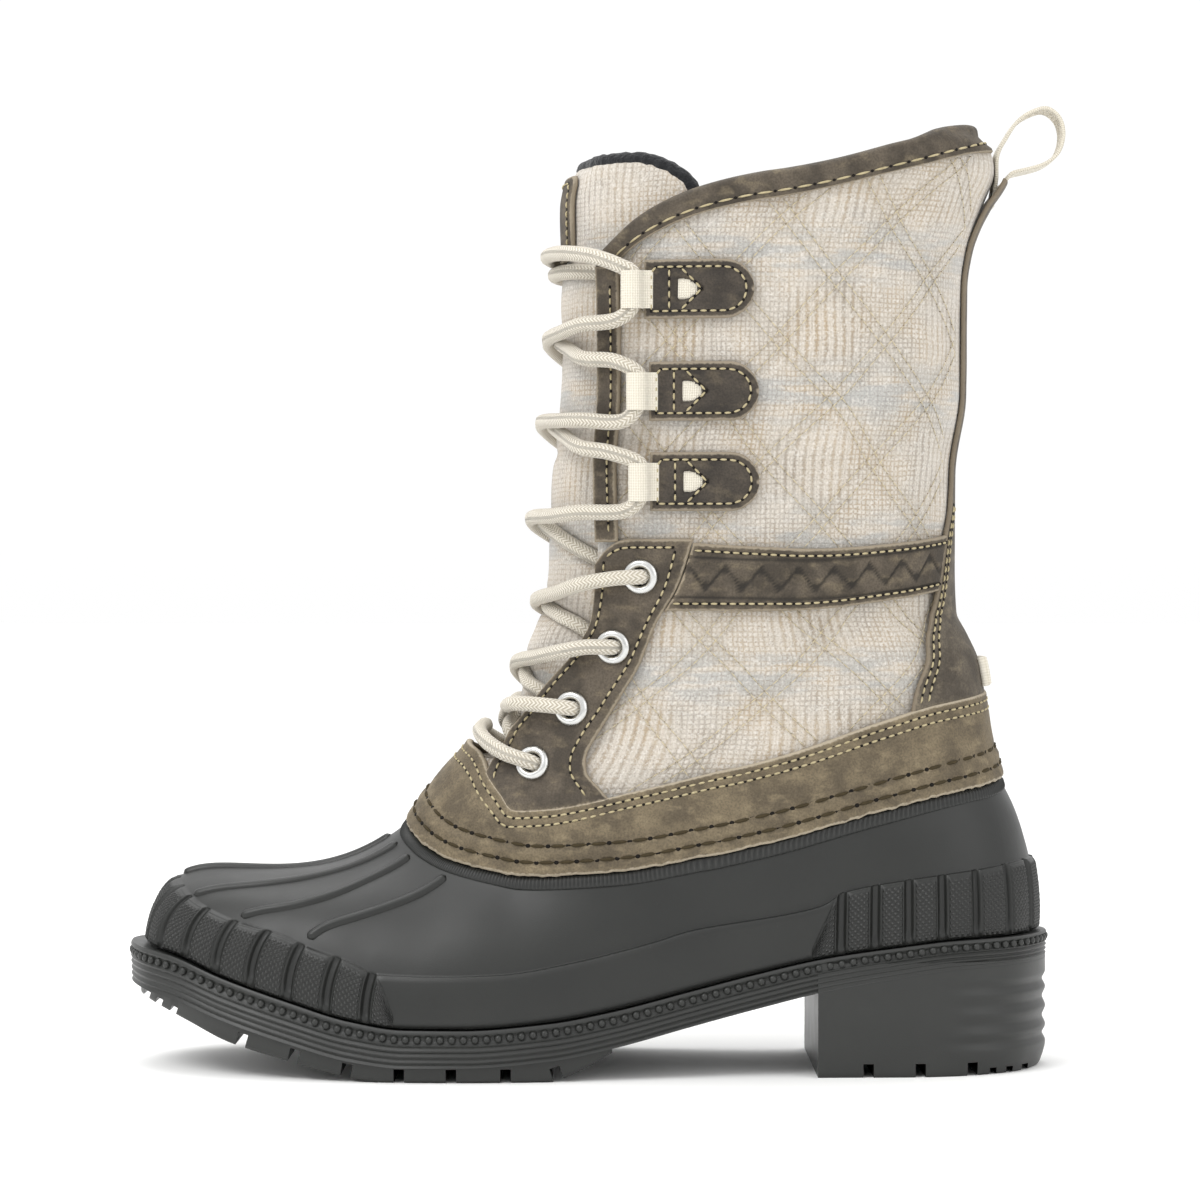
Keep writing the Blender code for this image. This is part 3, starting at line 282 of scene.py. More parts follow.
PULL_LOOP = (
    # x, height
    (125.6, 278.8),
    (126.0, 286.5),
    (128.8, 292.0),
    (132.6, 297.5),
    (137.4, 300.6),
    (142.1, 301.6),
    (146.2, 298.7),
    (147.8, 293.4),
    (146.2, 287.0),
    (141.8, 283.2),
    (131.2, 280.2),
)
CROSSINGS = (
    # upper x, upper height, front height, outer lift at the front, lower turn, lower height, lower lift
    (-13.6, 113.2, 114.0, -6.0, 158.0, 106.5, -5.6),
    (-1.0, 131.8, 127.0, -2.5, 147.0, 119.5, -5.6),
    (7.4, 153.0, 146.5, -3.2, 138.0, 139.0, -5.6),
    (11.0, 174.0, 171.5, 0.6, 140.0, 161.0, -5.6),
    (10.3, 201.0, 202.0, -0.1, 124.3, 191.2, 5.6),
    (8.9, 232.0, 228.0, -0.6, 125.0, 218.9, 5.6),
)

# Sole and shell detail
TREAD_INSET = 1.4
TREAD_FRONT, TREAD_BACK = -142.5, 5.0
TREAD_BEVEL, TREAD_BEVEL_RISE = 1.4, 0.9
TREAD_BURIED = 4.0
FOREFOOT_NOTCHES = (-108.9, -92.4, -76.0, -59.6, -43.8, -27.3, -11.3)
TOE_NOTCHES = (-140.4, -136.0, -131.0)
HEEL_NOTCHES = (83.5, 99.5, 115.8)
SMALL_HEEL_NOTCHES = (122.5, 128.0, 133.5)
LONG_CUTS = (
    # middle x, middle y, length
    (-46.0, -17.0, 70.0),
    (-46.0, 17.0, 70.0),
)
HEEL_LONG_CUTS = ((99.5, 0.0, 33.0),)
NOTCH_WIDTH = 3.2
NOTCH_DEPTH = 4.2
SMALL_NOTCH = 2.2
HEEL_BREAST = 68.0
HEEL_INSET = 0.4
HEEL_WAY, HEEL_BACK_WAY = 0.285, 0.10
HEEL_TOP = 35.0
HEEL_ROUND, HEEL_ROUND_RISE = 0.7, 1.2
SCOOP_FROM, SCOOP_TO = 102.0, 127.0
LIP_SHARE = 0.10
CHANNEL_END = 0.38
LIP_ROUND = 0.5
CHANNEL_DEPTH = 1.0
RIB_DEPTH = 0.55
SIDE_TAPER = 0.3
SIDE_RIBS = 4
SHARP_ANGLE = 38
BEAD_PITCH = 3.5
BEAD_RADIUS = 1.25
BEAD_INSET = 0.75
SHELL_WALL = 2.4
SHORT_REACH = 5.0
TUCK_RISES = (2.0, 7.0)
TUCK_LIFT, LINING_TUCK_LIFT = -0.1, -2.3
SIDE_ARC = 335.0
RAISED = 1.15
GROOVE_RAISED = -0.5
GROOVE_HALF = 1.6
TOE_PITCH = 12.4
LATERAL_TOE_GROOVES = tuple(3.8 + TOE_PITCH * k for k in range(9))
MEDIAL_TOE_GROOVES = tuple(8.6 + TOE_PITCH * k for k in range(8))
HEEL_GROOVES = (3.8, 16.4, 30.0, 42.9, 54.6, 65.2, 75.7, 86.1)
PAD_END = 9.0
KNURL = 1.9
KNURL_HEIGHT = 0.45
PAD_RIM = 0.7
RIM_WIDTH = 4.4
RIM_PITCH = 1.6
RIDGE = 1.25
RIDGE_HALF = 1.3
RIDGE_PITCH = 0.8
RIDGE_HALF_PROFILE = (
    # share of the half width, share of the height above the shell or depth below it
    (-1.45, -0.6),
    (-1.35, -0.1),
    (-1.05, 0.45),
    (-0.6, 0.85),
    (0.0, 1.0),
)
TOE_RIDGES = (
    # distance from the toe along the sole outline and share up the shell, from front to back
    ((0.0, 0.26), (0.0, 0.39), (0.0, 0.52), (0.0, 0.63), (0.0, 0.74), (0.0, 0.84), (0.0, 0.94)),
    ((28.5, 0.26), (31.5, 0.35), (37.5, 0.47), (40.5, 0.60), (40.0, 0.74), (38.0, 0.85), (36.0, 0.945)),
    ((53.3, 0.26), (56.6, 0.324), (63.7, 0.438), (67.4, 0.585), (66.5, 0.77), (65.5, 0.93)),
    ((78.6, 0.28), (80.5, 0.375), (87.2, 0.522), (92.8, 0.64), (99.0, 0.766), (104.0, 0.90)),
)

# Upper detail
SEAM_RISE = 7.8
EYELET_HOLE = 3.6
EYESTAY_TOP, EYESTAY_DROP = 165.0, 8.0
BACKSTAY_TOP = 279.0
HEEL_TAB_TURN = 10.0
HEEL_TAB_LOW, HEEL_TAB_HIGH = 118.8, 127.5
VAMP_TOP = 97.0
COLLAR_CROWN = 2.7
FLEECE_RADIUS = 2.5
STRIP_LOW, STRIP_HIGH, STRIP_WIDTH = 164.0, 248.6, 7.0
TAB_LENGTH, TAB_HALF = 33.0, 9.0
TAB_STRAIGHT = TAB_LENGTH - TAB_HALF
WINDOW_FRONT, WINDOW_HALF, WINDOW_TAPER = 9.6, 5.6, 0.62
LOOP_HALF, LOOP_THICK = 5.75, 0.9
PULL_HALF, PULL_THICK, PULL_PITCH = 6.0, 1.1, 0.9
HEAVY_ROWS, CREAM_ROWS = (4.2, 9.2), (2.6, 5.2)
STITCH_LIFT = 2.15
EDGE_WEAR = 2.2
EMBOSS_DEPTH = 0.42
EMBOSS_PERIOD, EMBOSS_TALL = 11.0, 3.6
EYELET_PROFILE = (
    # radius, lift
    (2.75, -3.4),
    (2.8, 1.5),
    (2.95, 2.9),
    (3.3, 3.5),
    (3.9, 3.75),
    (4.6, 3.6),
    (5.2, 3.1),
    (5.55, 2.4),
    (5.5, 2.0),
    (3.5, 1.9),
    (3.3, -3.4),
)
LOOP_OUTSIDE = (
    # ahead of the tab, lift
    (-3.0, 1.9),
    (-1.0, 3.6),
    (0.1, 6.6),
    (2.2, 7.9),
    (4.3, 7.2),
    (5.5, 4.9),
    (4.9, 2.2),
    (2.4, 1.0),
    (-0.6, 0.9),
)

# Tongue
TONGUE_LIFT = -(WALL + LAY + BINDING + LAY)
TONGUE_FOOT, TONGUE_TOP = 98.0, 282.0
TONGUE_CORNER = 9.0
TONGUE_SINK = (
    # height, how far the front of the tongue lies back from its even depth
    (98.0, 6.0),
    (107.0, 5.5),
    (114.0, 4.5),
    (124.0, 1.5),
    (133.0, -0.8),
    (150.0, 0.2),
    (172.0, 0.0),
    (225.0, 0.0),
    (238.0, -1.0),
    (247.0, -0.5),
    (254.0, 1.0),
    (270.0, 1.2),
    (277.0, 2.4),
    (283.0, 4.6),
)
PATCH_TURN = 21.0
PATCH_CORNER = 4.0
PATCH_BOTTOM, PATCH_TOP = 252.0, 279.0

# Quilting: the lattice passes a crossing at this place on the lateral side
QUILT_X, QUILT_HEIGHT = 58.3, 262.4
QUILT_ACROSS, QUILT_UP = 33.5, 36.7
QUILT_PAIR = 1.75
PUFF = 1.0
PUFF_REACH = 6.0
WOOL_COLUMNS, WOOL_ROWS = 264, 128

# Lace: its run over the tongue, then strand columns round the cord and their pitch along it
LACE_OVER = 5.0
LACE_AHEAD = 2.3
CROSS_GAP = 3.7
LACE_SQUASH = 0.26
LACE_PITCH = 0.8
TOP_PLACES = (
    # turn, height and lift from the hidden end round the front: upper half, lower half
    ((231, 251.0, -6.6), (221, 252.0, -5.4), (205, 253.4, -2.4), (180, 254.4, -0.4), (152, 253.6, 1.8)),
    ((231, 246.0, -7.0), (221, 247.0, -5.8), (205, 248.2, -4.0), (180, 249.0, -2.6), (152, 249.8, 0.6)),
)
LACE_COLUMNS = 6
LACE_LAY = 1.25

# Floor, sky and lights
FLOOR_HALF = 20
HORIZON, ZENITH = 1.0, 1.3
AIM_HEIGHT = 0.15
LIGHTS = (
    # name, place, size, power
    ("key", (-0.8, -0.9, 1.4), 0.8, 13.0),
    ("fill", (1.2, -0.9, 0.7), 1.0, 3.0),
    ("top", (-0.2, 0.4, 1.5), 1.0, 7.0),
)

# Camera: level, square to the boot's side, with this width in view at its middle plane
CAMERA_X, CAMERA_HEIGHT, CAMERA_DISTANCE = 1.3, 146.2, 1100.0
SENSOR = 36.0
FRAME_WIDTH = 379.7


def curve(rows, column, at):
    """One table column at `at`, smooth between the rows and never past them (monotone cubic)."""
    table = np.array(rows, float)
    x, y = table[:, 0], table[:, column]
    step = np.diff(x)
    slope = np.diff(y) / step
    tangent = np.concatenate([slope[:1], np.zeros(len(x) - 2), slope[-1:]])
    for i in range(1, len(x) - 1):
        if slope[i - 1] * slope[i] > 0:
            tangent[i] = 2 * slope[i - 1] * slope[i] / (slope[i - 1] + slope[i])
    at = np.clip(at, x[0], x[-1])
    i = np.clip(np.searchsorted(x, at) - 1, 0, len(step) - 1)
    t, h = (at - x[i]) / step[i], step[i]
    return (
        (1 + 2 * t) * (1 - t) ** 2 * y[i]
        + t * (1 - t) ** 2 * h * tangent[i]
        + t * t * (3 - 2 * t) * y[i + 1]
        + t * t * (t - 1) * h * tangent[i + 1]
    )


def spline(points, steps, closed):
    """Smooth line through the points (centripetal Catmull-Rom)."""
    p = np.array(points, float)
    if not closed:
        p = np.vstack([2 * p[0] - p[1], p, 2 * p[-1] - p[-2]])
    spans = range(len(p)) if closed else range(1, len(p) - 2)
    line = []
    for i in spans:
        a, b, c, d = (p[(i + k) % len(p)] for k in (-1, 0, 1, 2))
        ab, bc, cd = (math.sqrt(np.linalg.norm(v)) for v in (b - a, c - b, d - c))
        leave = (c - b) + bc * ((b - a) / ab - (c - a) / (ab + bc))
        arrive = (c - b) + bc * ((d - c) / cd - (d - b) / (bc + cd))
        for t in np.arange(steps) / steps:
            line.append(
                (2 * t**3 - 3 * t**2 + 1) * b
                + (t**3 - 2 * t**2 + t) * leave
                + (3 * t**2 - 2 * t**3) * c
                + (t**3 - t**2) * arrive
            )
    if not closed:
        line.append(p[-2])
    return np.array(line)


def unit(vectors):
    return vectors / np.linalg.norm(vectors, axis=-1, keepdims=True)


def running(line):
    """Distance along a line at each of its points."""
    return np.concatenate([[0], np.cumsum(np.linalg.norm(np.diff(line, axis=0), axis=1))])


def evenly(line, pitch):
    """The line again with points about one pitch apart."""
    run = running(line)
    at = np.linspace(0, run[-1], max(2, int(round(run[-1] / pitch)) + 1))
    return np.stack([np.interp(at, run, line[:, k]) for k in range(line.shape[1])], 1)


def outline_halves():
    """The sole outline from heel to toe along each side, with its running length."""
    half = BALL_WIDTH / 2
    lateral = [(TOE_X + a * LENGTH, -out * half) for a, out, _ in reversed(OUTLINE)]
    medial = [(TOE_X + a * LENGTH, out * half) for a, _, out in OUTLINE]
    points = [(TOE_X + LENGTH, 0.0)] + lateral + [(TOE_X, TOE_SWING)] + medial
    ring = spline(points, SPLINE_STEPS, True)
    toe = (len(lateral) + 1) * SPLINE_STEPS
    halves = (ring[: toe + 1], np.vstack([ring[toe:], ring[:1]])[::-1])
    return [(half, running(half)) for half in halves]


HALVES = outline_halves()


def on_outline(way, inset):
    """Plan point and outward normal. Way runs from -1 (toe) along the medial side, 0 (heel), to 1 (toe)."""
    way = np.asarray(way, float)
    found = []
    for half, run in HALVES:
        s = np.abs(way) * run[-1]
        ahead, behind = np.clip(s + 0.5, 0, run[-1]), np.clip(s - 0.5, 0, run[-1])
        places = [[np.interp(q, run, half[:, k]) for k in (0, 1)] for q in (s, ahead, behind)]
        found.append([np.stack(p, -1) for p in places])
    lateral = (way >= 0)[..., None]
    here, ahead, behind = (np.where(lateral, a, b) for a, b in zip(*found))
    along = ahead - behind
    out = np.stack([-along[..., 1], along[..., 0]], -1) * np.where(lateral, 1, -1)
    ends = np.isclose(np.abs(way), 0) | np.isclose(np.abs(way), 1)
    straight = np.stack([np.where(np.abs(way) < 0.5, 1.0, -1.0), np.zeros_like(way)], -1)
    out = np.where(ends[..., None], straight, unit(out))
    return here - out * inset, out


def swing(x):
    """How far the middle of the foot lies to the medial side."""
    return TOE_SWING * (np.clip(SWING_FROM - x, 0, None) / (SWING_FROM - TOE_X)) ** 1.5


def shaft_surface(turn, height):
    front, back, half = (curve(SECTIONS, column, height) for column in (1, 2, 3))
    c, s = np.cos(np.radians(turn)), np.sin(np.radians(turn))
    power = 2 / SQUARENESS
    x = (front + back) / 2 + (back - front) / 2 * np.sign(c) * np.abs(c) ** power
    y = swing(x) - half * np.sign(s) * np.abs(s) ** power
    return np.stack([x, y, height + 0 * x], -1)


def shaft_normal(turn, height):
    around = shaft_surface(turn + 0.6, height) - shaft_surface(turn - 0.6, height)
    up = shaft_surface(turn, height + 0.6) - shaft_surface(turn, height - 0.6)
    return unit(np.cross(up, around))


def shaft(turn, height, lift=0.0):
    """Point of the upper: turn in degrees from the back round the lateral side, lift along the normal."""
    turn, height, lift = np.broadcast_arrays(*(np.asarray(v, float) for v in (turn, height, lift)))
    return shaft_surface(turn, height) + shaft_normal(turn, height) * lift[..., None]


def turn_at(x, height):
    """Turn of the lateral shaft point at this x and height."""
    front, back = (curve(SECTIONS, column, height) for column in (1, 2))
    c = np.clip((x - (front + back) / 2) / ((back - front) / 2), -1, 1)
    return np.degrees(np.arccos(np.sign(c) * np.abs(c) ** (SQUARENESS / 2)))


def arc_table():
    turns = np.linspace(0, 180, 361)
    line = shaft_surface(turns, np.full_like(turns, 200.0))
    return turns, running(line)


ARC_TURNS, ARC_RUN = arc_table()


def arc(turn):
    """Distance round the shaft from its back, positive on the lateral side."""
    turn = (np.asarray(turn, float) + 180) % 360 - 180
    return np.sign(turn) * np.interp(np.abs(turn), ARC_TURNS, ARC_RUN)


def folded(turn):
    """Turn as an angle from the back, 0 to 180 on either side."""
    return np.abs((np.asarray(turn, float) + 180) % 360 - 180)


def band_edge(turn, column):
    return curve(BAND, column, folded(turn))


def throat_turn(height):
    return curve(THROAT, 1, height)


def collar_height(turn):
    return curve(COLLAR, 1, folded(turn))


def settle(side_share, height_of):
    """Turn and height at a share of the throat edge's turn, where height_of(turn) sets the height."""
    turn = side_share * 135.0
    for _ in range(12):
        height = height_of(turn)
        turn = side_share * throat_turn(height)
    return turn, height


def mirrored(turn, side):
    return turn if side == "lateral" else -turn


def lip_height(x):
    return curve(SOLE, 1, x)


def smooth(low, high, value):
    t = np.clip((value - low) / (high - low), 0, 1)
    return t * t * (3 - 2 * t)


def ripple(u, v, size, seed):
    """Smooth even noise about zero, from a few crossed waves."""
    dice = np.random.default_rng(seed)
    total = 0
    for _ in range(7):
        way, phase = dice.uniform(0, 2 * math.pi, 2)
        length = size * dice.uniform(0.6, 1.7)
        total = total + np.sin(2 * math.pi * (u * math.cos(way) + v * math.sin(way)) / length + phase)
    return total / 7


# Materials


def srgb(colour):
    """Linear colour of an 8-bit red, green and blue."""
    linear = [((c / 255 + 0.055) / 1.055) ** 2.4 if c > 10 else c / 255 / 12.92 for c in colour]
    return (*linear, 1.0)


class Look:
    """A Principled material and short calls that add nodes to it: sizes in millimetres, 8-bit colours."""

    def __init__(self, name, roughness, **values):
        self.material = bpy.data.materials.new(name)
        self.material.use_nodes = True
        self.tree = self.material.node_tree
        self.shader = self.tree.nodes["Principled BSDF"]
        self.put(self.shader.inputs["Roughness"], roughness)
        for key, value in values.items():
            self.put(self.shader.inputs[key.replace("_", " ")], value)
        self.where = self.add("ShaderNodeTexCoord").outputs["Object"]
        place = self.add("ShaderNodeAttribute", attribute_name="place")
        parts = self.add("ShaderNodeSeparateXYZ")
        self.tree.links.new(place.outputs["Vector"], parts.inputs[0])
        # edge is the third channel of place: worn rims, plus painted shade and highlight on the rubber knurl
        # and rim ribs, the pressed leather lines and the quilting channels
        self.u, self.v, self.edge = parts.outputs

    def add(self, kind, **settings):
        node = self.tree.nodes.new(kind)
        for key, value in settings.items():
            setattr(node, key, value)
        return node

    def put(self, socket, value):
        if isinstance(value, bpy.types.NodeSocket):
            self.tree.links.new(value, socket)
        else:
            socket.default_value = value

    def math(self, operation, a, b=0.0, clamp=False):
        node = self.add("ShaderNodeMath", operation=operation, use_clamp=clamp)
        self.put(node.inputs[0], a)
        self.put(node.inputs[1], b)
        return node.outputs[0]

    def plus(self, a, b):
        return self.math("ADD", a, b)

    def minus(self, a, b):
        return self.math("SUBTRACT", a, b)

    def times(self, a, b, clamp=False):
        return self.math("MULTIPLY", a, b, clamp)

    def wave(self, coordinate, period, phase=0.0):
        """Wave along a coordinate, from 0 to 1 and 1 at its phase."""
        turn = self.times(self.minus(coordinate, phase), 2 * math.pi / period)
        return self.plus(self.times(self.math("COSINE", turn), 0.5), 0.5)

    def blend(self, share, a, b):
        node = self.add("ShaderNodeMix", data_type="FLOAT")
        for socket, value in zip((0, 2, 3), (share, a, b)):
            self.put(node.inputs[socket], value)
        return node.outputs[0]

    def between(self, value, low, high):
        node = self.add("ShaderNodeMapRange", interpolation_type="SMOOTHSTEP")
        for socket, number in zip(node.inputs[:5], (value, low, high, 0.0, 1.0)):
            self.put(socket, number)
        return node.outputs[0]

    def noise(self, size, detail=3.0, at=None, stretch=None):
        node = self.add("ShaderNodeTexNoise")
        vector = at or self.where
        if stretch:
            scale = self.add("ShaderNodeMapping")
            self.put(scale.inputs["Vector"], vector)
            self.put(scale.inputs["Scale"], stretch)
            vector = scale.outputs[0]
        self.put(node.inputs["Vector"], vector)
        self.put(node.inputs["Scale"], 1000.0 / size)
        self.put(node.inputs["Detail"], detail)
        return node.outputs["Fac"]

    def cells(self, size):
        node = self.add("ShaderNodeTexVoronoi")
        self.put(node.inputs["Vector"], self.where)
        self.put(node.inputs["Scale"], 1000.0 / size)
        return node.outputs["Distance"]

    def sway(self, size, detail, reach):
        """Noise about zero."""
        return self.times(self.minus(self.noise(size, detail), 0.5), reach)

    def mix(self, share, a, b):
        node = self.add("ShaderNodeMix", data_type="RGBA")
        self.put(node.inputs[0], share)
        for socket, value in ((6, a), (7, b)):
            self.put(node.inputs[socket], srgb(value) if isinstance(value, tuple) else value)
        return node.outputs[2]

    def over(self, body, colour, share, most):
        """The body with a colour laid over it, at most this strongly."""
        return self.mix(self.times(share, most), body, colour)

    def gloss(self, size, detail, spread, least):
        """Uneven roughness."""
        rough = self.plus(self.times(self.noise(size, detail), spread), least)
        self.put(self.shader.inputs["Roughness"], rough)

    def colour(self, value):
        self.put(self.shader.inputs["Base Color"], value)

    def bump(self, height, distance, strength=1.0):
        node = self.add("ShaderNodeBump")
        self.put(node.inputs["Height"], height)
        self.put(node.inputs["Distance"], distance * MM)
        self.put(node.inputs["Strength"], strength)
        normal = self.shader.inputs["Normal"]
        if normal.links:
            self.put(node.inputs["Normal"], normal.links[0].from_socket)
        self.put(normal, node.outputs[0])


def faded(colour, share):
    return tuple(c * share for c in colour)


def rubber_look(name, shade, knurled=False):
    """Matt rubber; edge below 0 paints shade and above 0 paints a highlight, or marks the knurled field,
    where the knurl tips get a painted highlight and its valleys painted shade.
    """
    look = Look(name, 0.5, Specular_IOR_Level=0.4)
    painted_shading = look.edge
    if knurled:
        diagonals = [look.wave(look.math(way, look.u, look.v), 2.0) for way in ("ADD", "SUBTRACT")]
        tips = look.times(*diagonals)
        # Knurl tips painted lighter and valleys darker: painted highlight and painted shade
        painted_shading = look.times(look.edge, look.minus(look.times(tips, 1.2), 0.5))
        look.bump(look.times(look.edge, tips), 0.4, 0.8)
    dark = (shade - 5, shade - 4, shade - 5)
    pale = (shade + 5, shade + 6, shade + 4)
    body = look.mix(look.noise(26, 4), dark, pale)
    # Painted shade where the edge is below 0, painted highlight where it is above 0
    body = look.mix(look.times(painted_shading, -0.7, clamp=True), body, faded((shade, shade, shade), 0.42))
    body = look.mix(look.times(painted_shading, 0.4, clamp=True), body, (shade + 52, shade + 52, shade + 50))
    dust = look.between(look.noise(0.9, 5), 0.72, 0.8)
    look.colour(look.over(body, (110, 110, 105), dust, 0.16))
    look.gloss(9, 5, 0.14, 0.33)
    look.bump(look.noise(0.5, 3), 0.05, 0.5)
    look.bump(look.noise(14, 4), 0.25, 0.25)
    return look.material


def leather_look(name, dark, middle, scuff, pale):
    """Waxy nubuck: fine grain, streaked scuffs, paler worn edges, and painted shade darkening the pressed
    lines (edge below 0).
    """
    look = Look(name, 0.72, Specular_IOR_Level=0.3)
    body = look.mix(look.between(look.noise(9, 6), 0.35, 0.65), dark, middle)
    streak = look.noise(4.2, 8, stretch=(0.75, 0.75, 1.3))
    body = look.over(body, scuff, look.between(streak, 0.5, 0.72), 0.5)
    wear = look.times(look.between(look.edge, 0.0, 0.9), look.between(look.noise(7, 5), 0.35, 0.7))
    body = look.over(body, scuff, wear, 0.6)
    body = look.over(body, faded(dark, 0.6), look.between(look.noise(0.6, 5), 0.35, 0.7), 0.42)
    ragged = look.plus(look.edge, look.sway(1.1, 3, 0.5))
    body = look.over(body, pale, look.between(ragged, 0.5, 0.8), 0.85)
    # Painted shade in the pressed lines of the emboss
    pressed = look.times(look.edge, -1.0, clamp=True)
    look.colour(look.over(body, faded(dark, 0.45), pressed, 0.8))
    look.gloss(4, 5, 0.3, 0.5)
    look.bump(look.cells(0.8), 0.16, 0.55)
    look.bump(look.noise(0.35, 4), 0.1, 0.6)
    look.bump(look.noise(5, 5), 0.5, 0.3)
    return look.material


def wool_look():
    """Cream glen check: striped and checked zones, with soft blue-grey bands; edge gives painted shade in the
    quilting channels.
    """
    look = Look("wool_plaid", 0.95, Specular_IOR_Level=0.1, Sheen_Weight=0.3, Sheen_Roughness=0.6)
    wander = look.plus(look.sway(13, 2, 1.5), look.sway(1.6, 3, 0.6))
    u, v = look.plus(look.u, wander), look.minus(look.v, wander)
    stripe = look.between(look.wave(u, 2.9), 0.25, 0.85)
    warp, weft = look.between(look.wave(u, 1.45), 0.4, 0.95), look.between(look.wave(v, 1.5), 0.5, 0.95)
    fine = look.math("MAXIMUM", warp, weft)
    zone_u = look.between(look.wave(u, 47.0, 20.0), 0.3, 0.7)
    zone_v = look.between(look.wave(v, 43.0, 230.0), 0.25, 0.65)
    lines = look.plus(look.times(stripe, 0.55), look.times(fine, 0.3))
    check = look.plus(look.times(stripe, 0.15), look.times(fine, 0.6))
    weave = look.blend(look.times(zone_u, zone_v), check, lines)
    worn = look.plus(look.times(look.between(look.noise(12, 4), 0.3, 0.7), 0.45), 0.6)
    weave = look.times(weave, worn)
    tan = look.mix(look.between(look.noise(14, 3), 0.35, 0.65), (160, 141, 113), (144, 135, 123))
    body = look.mix(weave, (198, 191, 181), tan)
    streak = look.noise(7, 6, stretch=(0.35, 0.35, 1.8))
    band = look.math("POWER", look.wave(v, 43.0, 252.0), 2.0)
    body = look.over(body, (156, 160, 162), look.times(band, look.between(streak, 0.42, 0.58)), 0.55)
    fibre = look.noise(0.5, 6)
    body = look.over(body, (118, 108, 96), look.between(fibre, 0.45, 0.8), 0.6)
    body = look.over(body, (214, 210, 204), look.between(look.noise(0.9, 6), 0.5, 0.72), 0.6)
    # Painted shade along the quilting channels
    look.colour(look.over(body, (124, 112, 94), look.edge, 0.08))
    look.bump(weave, 0.25, 0.5)
    look.bump(look.noise(1.1, 5), 0.45, 0.5)
    look.bump(fibre, 0.3, 0.7)
    return look.material


def fleece_look():
    look = Look("black_fleece", 0.97, Specular_IOR_Level=0.1, Sheen_Weight=0.2, Sheen_Roughness=0.5)
    look.colour(look.mix(look.noise(2.2, 5), (20, 20, 22), (50, 51, 53)))
    look.bump(look.noise(1.3, 5), 0.9, 0.9)
    return look.material


def webbing_look():
    """Narrow cream tape with a ribbed weave; u runs along the tape and v across it."""
    look = Look("cream_webbing", 0.85, Specular_IOR_Level=0.2, Sheen_Weight=0.2)
    ribs, yarns = look.wave(look.u, 0.7), look.wave(look.v, 0.8)
    weave = look.plus(look.times(ribs, 0.6), look.times(yarns, 0.4))
    # The weave's ribs are painted lighter on their crests and darker between them: painted light and shade,
    # besides the bump
    body = look.mix(weave, (196, 189, 173), (228, 223, 211))
    look.colour(look.over(body, (204, 195, 175), look.noise(5, 4), 0.3))
    look.bump(weave, 0.25, 0.8)
    return look.material


def lace_look():
    """Braided cord; u runs along the cord and v round it, with slanted strands that meet in chevrons."""
    look = Look("lace_cord", 0.9, Specular_IOR_Level=0.15, Sheen_Weight=0.25)
    column = look.math("FRACT", look.times(look.v, LACE_COLUMNS / (2 * math.pi)))
    fold = look.math("ABSOLUTE", look.minus(column, 0.5))
    # The strand wave paints the crests lighter and the grooves between strand columns darker: painted light
    # and shade, besides the bump
    strands = look.wave(look.plus(look.u, look.times(fold, 2.6)), LACE_LAY)
    groove_shade = look.times(look.between(fold, 0.36, 0.5), 0.25)
    strands = look.times(strands, look.minus(1.0, groove_shade))
    body = look.mix(strands, (166, 157, 140), (224, 219, 208))
    fibre = look.noise(0.5, 4)
    look.colour(look.over(body, (190, 181, 163), look.between(fibre, 0.4, 0.7), 0.35))
    look.bump(strands, 0.28, 0.7)
    look.bump(fibre, 0.2, 0.7)
    return look.material


def thread_look(name, light, dark):
    look = Look(name, 0.8, Specular_IOR_Level=0.2)
    look.colour(look.mix(look.noise(1.4, 3), dark, light))
    look.bump(look.noise(0.25, 2), 0.08, 0.6)
    return look.material


def metal_look():
    look = Look("eyelet_metal", 0.22, Metallic=1.0)
    look.colour(look.mix(look.noise(3, 3), (188, 188, 186), (216, 216, 214)))
    look.gloss(1.5, 3, 0.16, 0.16)
    look.bump(look.noise(0.8, 2), 0.02, 0.4)
    return look.material


RUBBER = rubber_look("shell_rubber", 32)
KNURLED_RUBBER = rubber_look("knurled_rubber", 30, True)
SOLE_RUBBER = rubber_look("sole_rubber", 40)
LEATHER_DARK = leather_look("leather_dark", (64, 57, 48), (90, 81, 69), (122, 110, 89), (146, 135, 117))
LEATHER_BAND = leather_look("leather_band", (88, 78, 62), (114, 102, 81), (142, 128, 102), (170, 159, 140))
TAB_LEATHER = leather_look("leather_tab", (48, 43, 38), (70, 63, 55), (98, 88, 72), (146, 135, 118))
BACK_LEATHER = leather_look("leather_back", (70, 63, 54), (96, 88, 76), (126, 115, 96), (122, 111, 95))
WOOL = wool_look()
FLEECE = fleece_look()
TAPE = webbing_look()
CORD = lace_look()
THREAD = thread_look("cream_thread", (192, 180, 146), (146, 134, 102))
QUILT_THREAD = thread_look("quilt_thread", (208, 197, 168), (182, 169, 138))
HEAVY_THREAD = thread_look("heavy_thread", (70, 60, 40), (44, 38, 25))
# Dark discs at the stitch ends: painted shade in the needle holes
HOLE_SHADE = thread_look("stitch_hole_shade", (26, 22, 18), (14, 12, 10))
QUILT_HOLE_SHADE = thread_look("quilt_hole_shade", (150, 136, 110), (122, 109, 86))
METAL = metal_look()
SLOT_MATERIALS = {
    "rubber": (RUBBER, KNURLED_RUBBER, SOLE_RUBBER),
    "leather": (LEATHER_DARK, LEATHER_BAND, TAB_LEATHER, BACK_LEATHER),
    "wool": (WOOL,),
    "lining": (FLEECE,),
    "webbing": (TAPE,),
    "lace_cord": (CORD,),
    "eyelet_metal": (METAL,),
}
SLOTS = {material.name: slot for slot, materials in SLOT_MATERIALS.items() for material in materials}


# Mesh making


def linked(name, mesh):
    """Object of a mesh whose faces are turned outward."""
    shape = bmesh.new()
    shape.from_mesh(mesh)
    bmesh.ops.recalc_face_normals(shape, faces=shape.faces)
    shape.to_mesh(mesh)
    shape.free()
    made = bpy.data.objects.new(name, mesh)
    bpy.context.scene.collection.objects.link(made)
    return made


